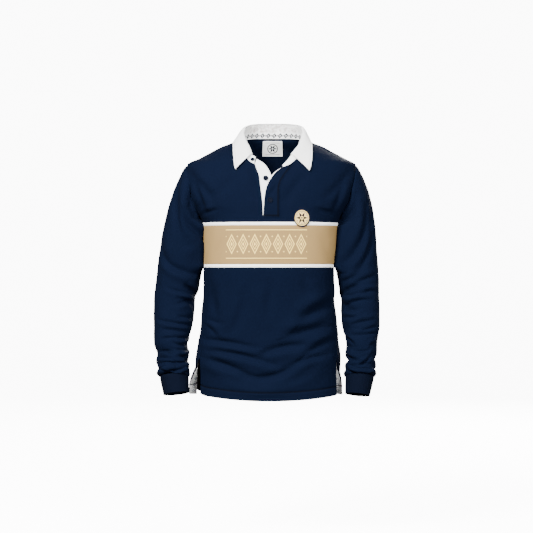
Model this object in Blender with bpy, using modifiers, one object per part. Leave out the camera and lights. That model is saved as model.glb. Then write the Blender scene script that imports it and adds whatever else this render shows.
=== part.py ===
"""Long-sleeved sports jersey, kept in the hollow form that it takes when worn.

Metres, +Z up. The front faces -Y and the wearer's left is at +X. The origin is
the middle of the neck base, level with the points where the shoulder line
meets the collar, because that is where the wearer holds the garment up.
"""

import math
from bisect import bisect_right

import bmesh
import bpy
from mathutils import Vector

# Cloth and seams
WALL = 0.0015
CUFF_WALL = 0.0018
COLLAR_WALL = 0.0012
TAPE_WALL = 0.0010
BADGE_WALL = 0.0012
SEAM_GAP = 0.0003
SHOULDER_GAP = 0.0018
LAYER_GAP = 0.0004
UNDER_LAYER = 0.0027
OVER_LAYER = WALL + LAYER_GAP
MERGE = 0.00001

# Levels on the body, measured from the neck base
SHOULDER_POINT = -0.061
UNDERARM = -0.2225
STRIPE_HEIGHT = 0.0085
HOOP_TOP = UNDERARM
BAND_TOP = HOOP_TOP - STRIPE_HEIGHT
HOOP_BOTTOM = -0.3457
BAND_BOTTOM = HOOP_BOTTOM + STRIPE_HEIGHT
SLOT_BOTTOM = -0.2082
VENT_TOP = -0.5962
HEM_FRONT = -0.7096
HEM_BACK = -0.7120

# Hem: its rise at a distance from the middle, and the rounding of its corners from
# a share of that distance outwards
HEM_RISE = 0.0119
HEM_RISE_AT = 0.1815
HEM_CORNER = 0.4
HEM_CORNER_FROM = 0.96

# Armholes and sleeve heads
ARMHOLE_FRONT = 0.050
ARMHOLE_BACK = 0.046
ARMHOLE_GAP = 0.0012
ARMHOLE_ROUND = 0.75
HEAD_LEVEL = -0.300
SLEEVE_END = -0.646
SLEEVE_SQUARE = 2.15
SLEEVE_CROWDING = 1.35

# How a sleeve leaves its armhole: outwards at the underarm and at the shoulder, to
# the front and down, and how far it keeps its direction at either end of the head
HEAD_OUT = (0.45, 0.58)
HEAD_FORWARD = 0.10
HEAD_DOWN = 0.81
HEAD_LEAVE = (0.06, 0.25)
HEAD_ARRIVE = (0.08, 0.20)
HEAD_STEP = 0.01

# Collar, neck tape and label
COLLAR_GAP = 0.0018
LEAF_LIFT = 0.0025
LEAF_ROLL = 0.011
LEAF_CREST = 0.003
LEAF_CLEAR = 0.0044
LEAF_FREE = 0.050
STAND_END = {-1: 143.0, 1: 162.0}
LEAF_END = {-1: 134.0, 1: 143.0}
STAND_JOIN = {-1: 144.0, 1: 150.0}
NECK_POINT_TURN = 90.0
NECK_TAPE_TURN = 84.0
NECK_TAPE_HEIGHT = 0.0175
NECK_TAPE_INSET = 0.0045
NECK_TAPE_LEAN = 1.75
LABEL_INSET = {"bottom": 0.0028, "top": 0.0080}
LABEL = {"left": -0.0213, "right": 0.0361, "bottom": -0.0308, "top": 0.0117}

# Placket: how far its strips pass under the front, and how the facing lies
PLACKET_TURN_IN = 0.003
FACING_SHOWS = 0.0012
FACING_INSET = 0.006
FACING_FOOT = 0.06

# Vents
FLARE_OUT = 0.034
FLARE_BACK = 0.047
FLARE_LEFT_HAND = 0.55
FLARE_FADE = 0.060
FLARE_HASTE = 1.4
VENT_TAPE_WIDTH = 0.0170
VENT_TAPE_EDGE = 0.002
VENT_TAPE_INSET = 0.0021
VENT_TAPE_ROWS = 4
VENT_TAPE_FOOT = 0.4
VENT_TAPE_HEAD = 3.65

# Badge and buttons
BADGE_X = 0.0863
BADGE_LEVEL = -0.2112
BADGE_RADIUS = 0.0225
BADGE_TALL = 1.1
BUTTON_RADIUS = 0.0070
BUTTON_THICK = 0.0028
BUTTON_PROFILE = [(0, 0), (0.86, 0), (1, 0.35), (1, 0.75), (0.88, 1), (0.72, 0.72), (0, 0.66)]
STAND_BUTTON_RADIUS = 0.0056
STAND_BUTTON_TURN = 139.5
STAND_BUTTON_SHARE = 0.40
STAND_BUTTON_GAP = 0.0014

# Mesh density, and the shares up an upper panel at which its inner edge turns
BODY_COLUMNS = 20
HALF_COLUMNS = 8
SLOT_COLUMNS = 2
UPPER_ROWS = 11
LOWER_ROWS = 13
BAND_ROWS = 4
SLEEVE_COLUMNS = 20
SLEEVE_ROWS = 28
CUFF_ROWS = 2
COLLAR_COLUMNS = 36
NECK_TAPE_COLUMNS = 20
LABEL_GRID = (4, 3)
PLACKET_GRID = (4, 12)
BADGE_SIDES = 24
BUTTON_SIDES = 16
FOLD_STEPS = 12
SLOT_SHARE = 1 / 11
JOIN_SHARE = 6 / 11
BACK_NECK_SHARE = 8 / 11
NECK_PULL_FROM = 0.75
BACK_PULL = 6
HEAD_SHARE = 8 / 28

# Colours as linear values, and how rough the materials are
NAVY = (0.0056, 0.0160, 0.0440)
TAN = (0.60, 0.48, 0.30)
WHITE = (0.90, 0.90, 0.89)
CREAM = (0.86, 0.74, 0.47)
CLOTH_ROUGH = 0.85
COLLAR_ROUGH = 0.8
TAPE_ROUGH = 0.75
PRINT_ROUGH = 0.7
BUTTON_ROUGH = 0.35


def table(columns, *rows):
    """Rows of a table as dictionaries, keyed by the column names."""
    names = columns.split()
    return [dict(zip(names, row)) for row in rows]


# Body rings from hem to neck: half widths to each side of the middle, depths to
# front and back, how square the ring is, and how far forward the side seam lies
BODY = table(
    "level left right front back square seam",
    (-0.7200, 0.2055, 0.1965, 0.1210, 0.1200, 2.20, 0.050),
    (-0.6500, 0.2050, 0.1955, 0.1190, 0.1160, 2.20, 0.050),
    (-0.6000, 0.2055, 0.1950, 0.1180, 0.1120, 2.25, 0.050),
    (-0.5600, 0.2000, 0.1910, 0.1170, 0.1080, 2.25, 0.048),
    (-0.5200, 0.1930, 0.1870, 0.1170, 0.1040, 2.30, 0.046),
    (-0.4700, 0.1890, 0.1820, 0.1180, 0.1010, 2.30, 0.043),
    (-0.4200, 0.1840, 0.1780, 0.1200, 0.1000, 2.35, 0.040),
    (-0.3500, 0.1835, 0.1780, 0.1230, 0.1020, 2.40, 0.036),
    (-0.2900, 0.1840, 0.1820, 0.1250, 0.1060, 2.40, 0.028),
    (-0.2225, 0.1870, 0.1890, 0.1260, 0.1100, 2.40, 0.012),
    (-0.2050, 0.1950, 0.1960, 0.1250, 0.1120, 2.35, 0.010),
    (-0.1800, 0.2110, 0.2130, 0.1240, 0.1130, 2.30, 0.008),
    (-0.1550, 0.2270, 0.2300, 0.1210, 0.1140, 2.25, 0.006),
    (-0.1300, 0.2340, 0.2380, 0.1180, 0.1130, 2.20, 0.004),
    (-0.1000, 0.2360, 0.2410, 0.1120, 0.1110, 2.15, 0.002),
    (-0.0610, 0.2290, 0.2380, 0.1010, 0.1050, 2.05, 0.000),
    (-0.0420, 0.1920, 0.2040, 0.0930, 0.1010, 1.95, 0.000),
    (-0.0250, 0.1610, 0.1720, 0.0830, 0.0960, 1.85, 0.000),
    (-0.0100, 0.1310, 0.1420, 0.0710, 0.0910, 1.80, 0.000),
    (0.0000, 0.1040, 0.1140, 0.0600, 0.0870, 1.75, 0.000),
    (0.0100, 0.0830, 0.0950, 0.0470, 0.0830, 1.70, 0.000),
    (0.0300, 0.0580, 0.0720, 0.0300, 0.0790, 1.70, 0.000),
)

# Collar sections from the middle of the back to each front end: where the collar
# folds, where its stand is sewn to the body, and where its leaf ends
COLLAR_PLACES = "turn fold_x fold_y fold_z seam_x seam_y seam_z edge_x edge_y edge_z"
COLLARS = {
    -1: table(
        COLLAR_PLACES,
        (0, 0.0090, 0.0700, 0.0569, 0.0090, 0.0790, 0.0255, 0.0090, 0.0930, 0.0110),
        (25, -0.0252, 0.0630, 0.0560, -0.0290, 0.0710, 0.0250, -0.0350, 0.0840, 0.0110),
        (50, -0.0530, 0.0430, 0.0515, -0.0600, 0.0490, 0.0220, -0.0700, 0.0600, 0.0110),
        (70, -0.0672, 0.0190, 0.0430, -0.0770, 0.0220, 0.0160, -0.0915, 0.0310, 0.0085),
        (90, -0.0720, -0.0060, 0.0290, -0.0840, -0.0060, 0.0070, -0.0995, -0.0030, 0.0060),
        (104, -0.0697, -0.0300, 0.0150, -0.0845, -0.0340, -0.0060, -0.1020, -0.0340, -0.0030),
        (116, -0.0636, -0.0520, -0.0024, -0.0790, -0.0620, -0.0215, -0.1015, -0.0660, -0.0230),
        (127, -0.0555, -0.0700, -0.0210, -0.0690, -0.0830, -0.0380, -0.0997, -0.0890, -0.0476),
        (134, -0.0493, -0.0780, -0.0375, -0.0600, -0.0930, -0.0530, -0.0945, -0.1030, -0.0775),
        (144, -0.0384, -0.0860, -0.0445, -0.0410, -0.1005, -0.0650, -0.0800, -0.1030, -0.0780),
    ),
    1: table(
        COLLAR_PLACES,
        (0, 0.0090, 0.0700, 0.0569, 0.0090, 0.0790, 0.0255, 0.0090, 0.0930, 0.0110),
        (25, 0.0430, 0.0630, 0.0560, 0.0470, 0.0710, 0.0250, 0.0530, 0.0840, 0.0110),
        (50, 0.0710, 0.0430, 0.0520, 0.0780, 0.0490, 0.0220, 0.0880, 0.0600, 0.0110),
        (72, 0.0870, 0.0180, 0.0440, 0.0960, 0.0210, 0.0140, 0.1070, 0.0300, 0.0070),
        (92, 0.0900, -0.0080, 0.0290, 0.1000, -0.0080, 0.0020, 0.1130, -0.0050, 0.0035),
        (111, 0.0845, -0.0330, 0.0074, 0.0985, -0.0400, -0.0110, 0.1160, -0.0370, -0.0080),
        (123, 0.0771, -0.0550, -0.0129, 0.0900, -0.0690, -0.0300, 0.1160, -0.0655, -0.0268),
        (133, 0.0684, -0.0680, -0.0245, 0.0790, -0.0850, -0.0430, 0.1142, -0.0885, -0.0514),
        (143, 0.0576, -0.0800, -0.0386, 0.0660, -0.0950, -0.0550, 0.1065, -0.1025, -0.0814),
        (152, 0.0471, -0.0880, -0.0532, 0.0538, -0.1000, -0.0650, 0.0950, -0.1040, -0.0820),
        (162, 0.0337, -0.0930, -0.0672, 0.0380, -0.1010, -0.0740, 0.0900, -0.1040, -0.0820),
    ),
}

# Placket strips from the bottom up: the free edge and the edge sewn to the front
STRIP_PLACES = "row free_x free_level join_x join_level"
STRIPS = {
    "under": table(
        STRIP_PLACES,
        (0, 0.0167, -0.2082, -0.0200, -0.2082),
        (1, 0.0165, -0.1821, -0.0208, -0.1821),
        (2, 0.0155, -0.1562, -0.0225, -0.1562),
        (3, 0.0135, -0.1320, -0.0258, -0.1320),
        (4, 0.0095, -0.1100, -0.0288, -0.1100),
        (5, 0.0030, -0.0938, -0.0305, -0.0940),
        (6, -0.0068, -0.0739, -0.0365, -0.0790),
        (7, -0.0163, -0.0623, -0.0385, -0.0700),
        (8, -0.0270, -0.0545, -0.0390, -0.0672),
    ),
    "over": table(
        STRIP_PLACES,
        (0, -0.0179, -0.2082, 0.0220, -0.2082),
        (1, -0.0168, -0.1821, 0.0220, -0.1821),
        (2, -0.0149, -0.1562, 0.0220, -0.1562),
        (3, -0.0106, -0.1320, 0.0225, -0.1320),
        (4, -0.0032, -0.1140, 0.0260, -0.1150),
        (5, 0.0072, -0.0970, 0.0360, -0.0960),
        (6, 0.0200, -0.0830, 0.0490, -0.0770),
        (7, 0.0340, -0.0735, 0.0580, -0.0640),
    ),
}

# Sleeve rings from cuff to head: the edges that show from the front, the ring's
# middle and half depth from front to back, and its rise towards the front
SLEEVE_PLACES = "level outer inner middle depth rise"
SLEEVES = {
    -1: table(
        SLEEVE_PLACES,
        (-0.6460, -0.3025, -0.2245, -0.0470, 0.0365, 0.34),
        (-0.6360, -0.3120, -0.2213, -0.0450, 0.0430, 0.34),
        (-0.6265, -0.3070, -0.2250, -0.0420, 0.0440, 0.32),
        (-0.6150, -0.3095, -0.2224, -0.0390, 0.0460, 0.30),
        (-0.6020, -0.3140, -0.2275, -0.0350, 0.0460, 0.26),
        (-0.5835, -0.3110, -0.2243, -0.0290, 0.0450, 0.21),
        (-0.5575, -0.3200, -0.2270, -0.0210, 0.0490, 0.15),
        (-0.5000, -0.3220, -0.2150, -0.0080, 0.0540, 0.06),
        (-0.4310, -0.3220, -0.2060, 0.0050, 0.0580, 0.00),
        (-0.3890, -0.3175, -0.1975, 0.0110, 0.0600, 0.00),
        (-0.3475, -0.3130, -0.1905, 0.0120, 0.0600, 0.00),
        (-0.3000, -0.3065, -0.1895, 0.0100, 0.0600, 0.00),
    ),
    1: table(
        SLEEVE_PLACES,
        (-0.6460, 0.2860, 0.2085, -0.0470, 0.0365, 0.34),
        (-0.6360, 0.2915, 0.2050, -0.0450, 0.0430, 0.34),
        (-0.6265, 0.2870, 0.2085, -0.0420, 0.0440, 0.32),
        (-0.6150, 0.2925, 0.2070, -0.0390, 0.0460, 0.30),
        (-0.6020, 0.2890, 0.2125, -0.0350, 0.0460, 0.26),
        (-0.5835, 0.2950, 0.2095, -0.0290, 0.0450, 0.21),
        (-0.5575, 0.2960, 0.2110, -0.0210, 0.0490, 0.15),
        (-0.5000, 0.3040, 0.2010, -0.0080, 0.0540, 0.06),
        (-0.4310, 0.3040, 0.1960, 0.0050, 0.0580, 0.00),
        (-0.3890, 0.3030, 0.1910, 0.0110, 0.0600, 0.00),
        (-0.3475, 0.3010, 0.1860, 0.0120, 0.0600, 0.00),
        (-0.3000, 0.2975, 0.1890, 0.0100, 0.0600, 0.00),
    ),
}

# Cuff ends, top then bottom: the middle of each, its half widths across and in
# depth, and its rise towards the front and towards the body
CUFF = table(
    "side x y level half_width half_depth rise lean",
    (-1, -0.2635, -0.0475, -0.6475, 0.0390, 0.0360, 0.34, 0.03),
    (-1, -0.2572, -0.0660, -0.6915, 0.0343, 0.0320, 0.20, 0.10),
    (1, 0.2473, -0.0475, -0.6475, 0.0388, 0.0360, 0.34, 0.03),
    (1, 0.2400, -0.0660, -0.6945, 0.0330, 0.0320, 0.20, 0.10),
)

# Largest folds of the body, as curves through three places: face is -1 in front
BODY_FOLDS = table(
    "face x1 level1 x2 level2 x3 level3 width height",
    (-1, -0.172, -0.592, -0.020, -0.656, 0.152, -0.585, 0.014, -0.0045),
    (-1, -0.165, -0.612, -0.015, -0.682, 0.160, -0.610, 0.015, 0.0040),
    (-1, -0.165, -0.566, -0.060, -0.590, 0.020, -0.606, 0.012, -0.0030),
    (-1, -0.010, -0.575, 0.060, -0.566, 0.130, -0.545, 0.014, -0.0030),
    (-1, -0.195, -0.542, -0.150, -0.556, -0.105, -0.552, 0.012, -0.0030),
    (1, -0.150, -0.480, 0.000, -0.535, 0.150, -0.490, 0.018, -0.0050),
    (1, -0.160, -0.520, 0.010, -0.575, 0.155, -0.525, 0.016, 0.0045),
    (1, -0.130, -0.600, 0.020, -0.640, 0.150, -0.590, 0.018, -0.0040),
    (1, -0.175, -0.150, -0.120, -0.200, -0.070, -0.230, 0.016, -0.0040),
    (1, 0.180, -0.150, 0.125, -0.205, 0.070, -0.235, 0.016, -0.0040),
)

# Folds of the sleeves: the turn round the sleeve and the level of the middle, how
# far each reaches round, its slope in 45 degrees, and its width and height
SLEEVE_FOLDS = table(
    "side turn level reach slope width height",
    (-1, 80, -0.625, 130, 0.004, 0.0060, -0.0040),
    (-1, 190, -0.610, 90, -0.006, 0.0065, -0.0040),
    (-1, 60, -0.585, 80, 0.005, 0.0080, -0.0045),
    (-1, 170, -0.560, 60, 0.010, 0.0080, -0.0045),
    (-1, 110, -0.520, 70, -0.006, 0.0100, -0.0030),
    (-1, 150, -0.445, 70, 0.010, 0.0120, -0.0065),
    (-1, 150, -0.412, 80, -0.014, 0.0120, -0.0060),
    (-1, 300, -0.600, 90, 0.006, 0.0080, -0.0045),
    (-1, 270, -0.440, 80, 0.012, 0.0130, -0.0050),
    (1, 80, -0.622, 130, -0.004, 0.0060, -0.0040),
    (1, 190, -0.602, 90, 0.006, 0.0065, -0.0040),
    (1, 60, -0.595, 80, -0.005, 0.0080, -0.0045),
    (1, 150, -0.567, 70, 0.008, 0.0080, -0.0045),
    (1, 90, -0.525, 80, 0.006, 0.0100, -0.0030),
    (1, 150, -0.450, 80, 0.012, 0.0120, -0.0060),
    (1, 140, -0.405, 80, -0.016, 0.0120, -0.0060),
    (1, 300, -0.590, 90, -0.006, 0.0080, -0.0045),
    (1, 270, -0.435, 80, -0.012, 0.0130, -0.0050),
)

# Placket buttons, and how far out from the body the cloth under each one lies
BUTTONS = table(
    "name x level layer",
    ("placket_button_upper", -0.0117, -0.1028, -UNDER_LAYER),
    ("placket_button_lower", 0.0002, -0.1632, OVER_LAYER),
)


def start_clean():
    """Remove whatever the open file holds."""
    for thing in list(bpy.data.objects):
        bpy.data.objects.remove(thing)


def between(rows, key, column, at):
    """Value of a column where the key is at, on a smooth curve through the rows."""
    if rows[0][key] > rows[-1][key]:
        rows = rows[::-1]
    keys = [row[key] for row in rows]
    if at <= keys[0]:
        return rows[0][column]
    if at >= keys[-1]:
        return rows[-1][column]
    place = bisect_right(keys, at) - 1

    def rate(index):
        step = keys[index + 1] - keys[index]
        return (rows[index + 1][column] - rows[index][column]) / step

    def slope(index):
        if index == 0:
            return rate(0)
        if index == len(rows) - 1:
            return rate(index - 1)
        before, after = rate(index - 1), rate(index)
        return 0.0 if before * after <= 0 else 2 * before * after / (before + after)

    span = keys[place + 1] - keys[place]
    t = (at - keys[place]) / span
    low, high = rows[place][column], rows[place + 1][column]
    return (
        (2 * t**3 - 3 * t**2 + 1) * low
        + (t**3 - 2 * t**2 + t) * span * slope(place)
        + (3 * t**2 - 2 * t**3) * high
        + (t**3 - t**2) * span * slope(place + 1)
    )


def blend(low, high, part):
    """Value part of the way from low to high."""
    return low + (high - low) * part


def signed_power(value, power):
    """A power that keeps its base's sign."""
    return math.copysign(abs(value) ** power, value)


def body(column, level):
    """A size of the body ring at a level."""
    return between(BODY, "level", column, level)


def body_half(level, x):
    """Half width of the body ring on the side where x lies."""
    return body("left" if x < 0 else "right", level)


def turn_at_x(x, level):
    """Turn from the middle of the front at which the body ring reaches x."""
    share = min(1.0, abs(x) / body_half(level, x))
    return math.copysign(math.degrees(math.asin(share ** (body("square", level) / 2))), x)


def turn_at_depth(forward, level):
    """Turn, as a positive angle, at which the ring lies that far in front of its middle."""
    depth = body("front" if forward > 0 else "back", level)
    share = min(1.0, abs(forward) / depth) ** (body("square", level) / 2)
    return 90.0 - math.copysign(math.degrees(math.asin(share)), forward)


def fold_curve(fold, t):
    """Place on a fold's curve, which passes its second place half way along."""
    first, second, third = (1 - t) ** 2, 2 * t * (1 - t), t * t

    def axis(name):
        ends = 0.5 * (fold[name + "1"] + fold[name + "3"])
        return first * fold[name + "1"] + second * (2 * fold[name + "2"] - ends) + third * fold[name + "3"]

    return axis("x"), axis("level")


def fold_height(folds, x, level):
    """Rise of the cloth at a place from the folds that pass near it."""
    rise = 0.0
    for fold in folds:
        shares = [step / FOLD_STEPS for step in range(FOLD_STEPS + 1)]
        places = [(share, *fold_curve(fold, share)) for share in shares]
        distance, along = min((math.hypot(x - px, level - pl), t) for t, px, pl in places)
        ends = math.sin(math.pi * (0.1 + 0.8 * along))
        rise += fold["height"] * ends * math.exp(-((distance / fold["width"]) ** 2))
    return rise


FRONT_FOLDS = [fold for fold in BODY_FOLDS if fold["face"] < 0]
BACK_FOLDS = [fold for fold in BODY_FOLDS if fold["face"] > 0]


def side_turn(level):
    """Turn of the side seam."""
    return turn_at_depth(body("seam", level), level)


def vent_flare(level, turn):
    """Swing of the back's edge at a vent, outwards and to the back."""
    below = max(0.0, VENT_TOP - level) / (VENT_TOP - HEM_BACK)
    swing = math.sin(min(1.0, FLARE_HASTE * below) * math.pi / 2)
    side = 1 if turn > 0 else -1
    radius = 0.5 * (body_half(level, side) + body("back", level))
    away = math.radians(abs(turn) - side_turn(level)) * radius
    fade = math.exp(-((away / FLARE_FADE) ** 2))
    width = FLARE_OUT * (FLARE_LEFT_HAND if side > 0 else 1.0)
    return Vector((side * width, FLARE_BACK, 0)) * swing * fade


def body_point(level, turn, back=False):
    """Point of the body cloth; turn runs from the middle of the front towards +X."""
    turn = (turn + 180.0) % 360.0 - 180.0
    angle = math.radians(turn)
    power = 2 / body("square", level)
    across = signed_power(math.sin(angle), power)
    forward = signed_power(math.cos(angle), power)
    x = body_half(level, turn) * across
    y = -body("front" if forward > 0 else "back", level) * forward
    folds = FRONT_FOLDS if forward > 0 else BACK_FOLDS
    y -= fold_height(folds, x, level) * forward
    point = Vector((x, y, level))
    if back and level < VENT_TOP:
        point += vent_flare(level, turn)
    return point


def body_surface(level, turn, out, back=False):
    """Point moved out from the body cloth along its normal."""
    point = body_point(level, turn, back)
    across = body_point(level, turn + 0.5, back) - body_point(level, turn - 0.5, back)
    up = body_point(level + 0.001, turn, back) - body_point(level - 0.001, turn, back)
    return point + across.cross(up).normalized() * out


def front_surface(x, level, out):
    """Point moved out from the front at a place."""
    return body_surface(level, turn_at_x(x, level), out)


def back_surface(x, level, out):
    """Point moved out from the back at a place."""
    return body_surface(level, 180.0 - turn_at_x(x, level), out, True)


def hem_level(x, centre):
    """Level of the hem, which rises towards the sides and rounds at its corners."""
    share = abs(x) / HEM_RISE_AT
    corner = HEM_CORNER * max(0.0, share - HEM_CORNER_FROM) ** 2
    return centre + HEM_RISE * share**2 + corner


def collar_point(side, turn, line):
    """Point of a collar line, which is fold, seam or edge."""
    rows = COLLARS[side]
    return Vector([between(rows, "turn", line + axis, turn) for axis in ("_x", "_y", "_z")])


def stand_axes(side, turn):
    """Directions up the collar stand and out from it."""
    up = (collar_point(side, turn, "fold") - collar_point(side, turn, "seam")).normalized()
    along = collar_point(side, turn + 1, "fold") - collar_point(side, turn - 1, "fold")
    return up, up.cross(along).normalized() * side


def outward(turn):
    """Level direction away from the neck; turn runs from the back towards +X."""
    angle = math.radians(turn)
    return Vector((math.sin(angle), math.cos(angle), 0))


def armhole_reach(level, back):
    """How far in front of the ring's middle an armhole's edge lies."""
    part = (level - UNDERARM) / (SHOULDER_POINT - UNDERARM)
    bow = math.sin(math.pi * min(1.0, max(0.0, part))) ** ARMHOLE_ROUND
    return blend(body("seam", level), -ARMHOLE_BACK if back else ARMHOLE_FRONT, bow)


def armhole_turn(level, back):
    """Turn of an armhole's edge."""
    return turn_at_depth(armhole_reach(level, back), level)


# Objects

def material(name, colour, rough):
    """Principled material of one colour."""
    finish = bpy.data.materials.new(name)
    finish.use_nodes = True
    shader = finish.node_tree.nodes["Principled BSDF"]
    shader.inputs["Base Color"].default_value = (*colour, 1)
    shader.inputs["Roughness"].default_value = rough
    shader.inputs["Metallic"].default_value = 0.0
    return finish


def finish_object(name, maker, colour, rough, wall=None):
    """Object from a bmesh, with a cloth wall if one is given."""
    mesh = bpy.data.meshes.new(name)
    bmesh.ops.recalc_face_normals(maker, faces=maker.faces)
    maker.to_mesh(mesh)
    maker.free()
    mesh.shade_smooth()
    mesh.materials.append(material(name, colour, rough))
    thing = bpy.data.objects.new(name, mesh)
    bpy.data.collections["sports_jersey"].objects.link(thing)
    if wall:
        shell = thing.modifiers.new("Cloth", "SOLIDIFY")
        shell.thickness = wall
        shell.offset = 0
    return thing


def add_grid(maker, columns, rows, place):
    """Grid whose points are placed by their shares across and up."""
    made = bmesh.ops.create_grid(maker, x_segments=columns, y_segments=rows, size=0.5)
    for vert in made["verts"]:
        vert.co = place(vert.co.x + 0.5, vert.co.y + 0.5)


def panel(name, columns, rows, place, colour, rough=CLOTH_ROUGH, wall=WALL):
    """Cloth on one grid."""
    maker = bmesh.new()
    add_grid(maker, columns, rows, place)
    return finish_object(name, maker, colour, rough, wall)


def tube(name, columns, rows, place, colour, wall=WALL):
    """Open cloth tube, placed by the turn round it in degrees and the share along it."""
    maker = bmesh.new()
    add_grid(maker, columns, rows, lambda u, v: place(360.0 * u, v))
    bmesh.ops.remove_doubles(maker, verts=maker.verts, dist=MERGE)
    return finish_object(name, maker, colour, CLOTH_ROUGH, wall)


# Body panels

def panel_turn(level, share, back):
    """Turn at a share of a panel's width, from one side seam to the other."""
    gap = math.degrees(0.5 * SEAM_GAP / (0.5 * (body("left", level) + body("front", level))))
    edge = side_turn(level)
    if back:
        return blend(edge + gap, 360.0 - edge - gap, share)
    return blend(gap - edge, edge - gap, share)


def add_hoop_panel(name, back, top, bottom, rows, colour):
    """Panel of the front or back between two levels."""

    def place(u, v):
        level = blend(bottom + SEAM_GAP / 2, top - SEAM_GAP / 2, v)
        return body_point(level, panel_turn(level, u, back), back)

    panel(name, BODY_COLUMNS, rows, place, colour)


def lower_place(back):
    """Placing of the panel from the hoop down to the hem."""
    centre = HEM_BACK if back else HEM_FRONT

    def place(u, v):
        hem_x = body_point(centre, panel_turn(centre, u, back)).x
        level = blend(hem_level(hem_x, centre), HOOP_BOTTOM - SEAM_GAP / 2, v)
        return body_point(level, panel_turn(level, u, back), back)

    return place


def half_panel_place(side, back, inner):
    """Placing of half an upper panel between its inner edge and the armhole.

    The inner edge is a function of the share up the panel. Near that edge the
    cloth leaves the body ring to meet it.
    """
    gap = 0.5 * (-1 if back else 1)

    def place(u, v):
        edge = inner(v)
        inner_turn = abs(turn_at_x(edge.x, edge.z))
        if back:
            inner_turn = 180.0 - inner_turn
        outer_level = blend(UNDERARM + SEAM_GAP / 2, SHOULDER_POINT, v)
        reach = armhole_reach(outer_level, back) + gap * blend(SEAM_GAP, SHOULDER_GAP, v)
        outer_turn = turn_at_depth(reach, outer_level)
        level = blend(edge.z, outer_level, u)
        turn = blend(inner_turn, outer_turn, u)
        pull = edge - body_point(edge.z, side * inner_turn)
        return body_point(level, side * turn) + pull * (1 - u) ** 2

    return place


def front_inner_edge(side):
    """Inner edge of half the upper front: slot line, placket join, then neck seam."""
    rows = STRIPS["under" if side < 0 else "over"]
    slot_x = rows[0]["join_x"]
    top = collar_point(side, STAND_JOIN[side], "seam")

    def inner(share):
        if share <= SLOT_SHARE:
            level = blend(HOOP_TOP + SEAM_GAP / 2, SLOT_BOTTOM, share / SLOT_SHARE)
            return body_point(level, turn_at_x(slot_x, level))
        if share <= JOIN_SHARE:
            part = (share - SLOT_SHARE) / (JOIN_SHARE - SLOT_SHARE)
            level = blend(SLOT_BOTTOM, top.z, part)
            x = between(rows, "join_level", "join_x", level)
            point = body_point(level, turn_at_x(x, level))
            pull = max(0.0, (part - NECK_PULL_FROM) / (1 - NECK_PULL_FROM)) ** 2
            return point + (top - point) * pull
        part = (share - JOIN_SHARE) / (1 - JOIN_SHARE)
        seam = collar_point(side, blend(STAND_JOIN[side], NECK_POINT_TURN, part), "seam")
        return seam - Vector((0, SHOULDER_GAP / 2, 0)) * part

    return inner


def back_inner_edge(side):
    """Inner edge of half the upper back: middle line, then neck seam."""
    neck = collar_point(side, 0, "seam")

    def inner(share):
        if share <= BACK_NECK_SHARE:
            part = share / BACK_NECK_SHARE
            level = blend(HOOP_TOP + SEAM_GAP / 2, neck.z, part)
            x = neck.x * part
            point = body_point(level, 180.0 - turn_at_x(x, level))
            return point + (neck - point) * part**BACK_PULL
        part = (share - BACK_NECK_SHARE) / (1 - BACK_NECK_SHARE)
        seam = collar_point(side, NECK_POINT_TURN * part, "seam")
        return seam + Vector((0, SHOULDER_GAP / 2, 0)) * part

    return inner


def add_upper_front():
    """Upper front in one piece, with the placket slot open at the neck."""
    maker = bmesh.new()
    inners = {side: front_inner_edge(side) for side in (-1, 1)}
    for side, inner in inners.items():
        add_grid(maker, HALF_COLUMNS, UPPER_ROWS, half_panel_place(side, False, inner))

    def below_slot(u, v):
        level = inners[1](v * SLOT_SHARE).z
        x = blend(inners[-1](0).x, inners[1](0).x, u)
        return body_point(level, turn_at_x(x, level))

    add_grid(maker, SLOT_COLUMNS, 1, below_slot)
    bmesh.ops.remove_doubles(maker, verts=maker.verts, dist=MERGE)
    finish_object("front_upper", maker, NAVY, CLOTH_ROUGH, WALL)


def add_upper_back():
    """Upper back in one piece."""
    maker = bmesh.new()
    for side in (-1, 1):
        place = half_panel_place(side, True, back_inner_edge(side))
        add_grid(maker, HALF_COLUMNS + 1, UPPER_ROWS, place)
    bmesh.ops.remove_doubles(maker, verts=maker.verts, dist=MERGE)
    finish_object("back_upper", maker, NAVY, CLOTH_ROUGH, WALL)


def add_body():
    """Front and back panels with the hoop between its two stripes."""
    for name, back in (("front", False), ("back", True)):
        add_hoop_panel(name + "_stripe_upper", back, HOOP_TOP, BAND_TOP, 1, WHITE)
        add_hoop_panel(name + "_band", back, BAND_TOP, BAND_BOTTOM, BAND_ROWS, TAN)
        add_hoop_panel(name + "_stripe_lower", back, BAND_BOTTOM, HOOP_BOTTOM, 1, WHITE)
        panel(name + "_lower", BODY_COLUMNS, LOWER_ROWS, lower_place(back), NAVY)
    add_upper_front()
    add_upper_back()


# Sleeves and cuffs

def sleeve_fold_rise(side, turn, level):
    """Rise of the sleeve cloth from its folds."""
    rise = 0.0
    for fold in SLEEVE_FOLDS:
        if fold["side"] != side:
            continue
        around = (turn - fold["turn"] + 180.0) % 360.0 - 180.0
        line = fold["level"] + fold["slope"] * around / 45.0
        across = math.exp(-(((level - line) / fold["width"]) ** 2))
        rise += fold["height"] * across * math.exp(-((around / (0.5 * fold["reach"])) ** 2))
    return rise


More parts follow.
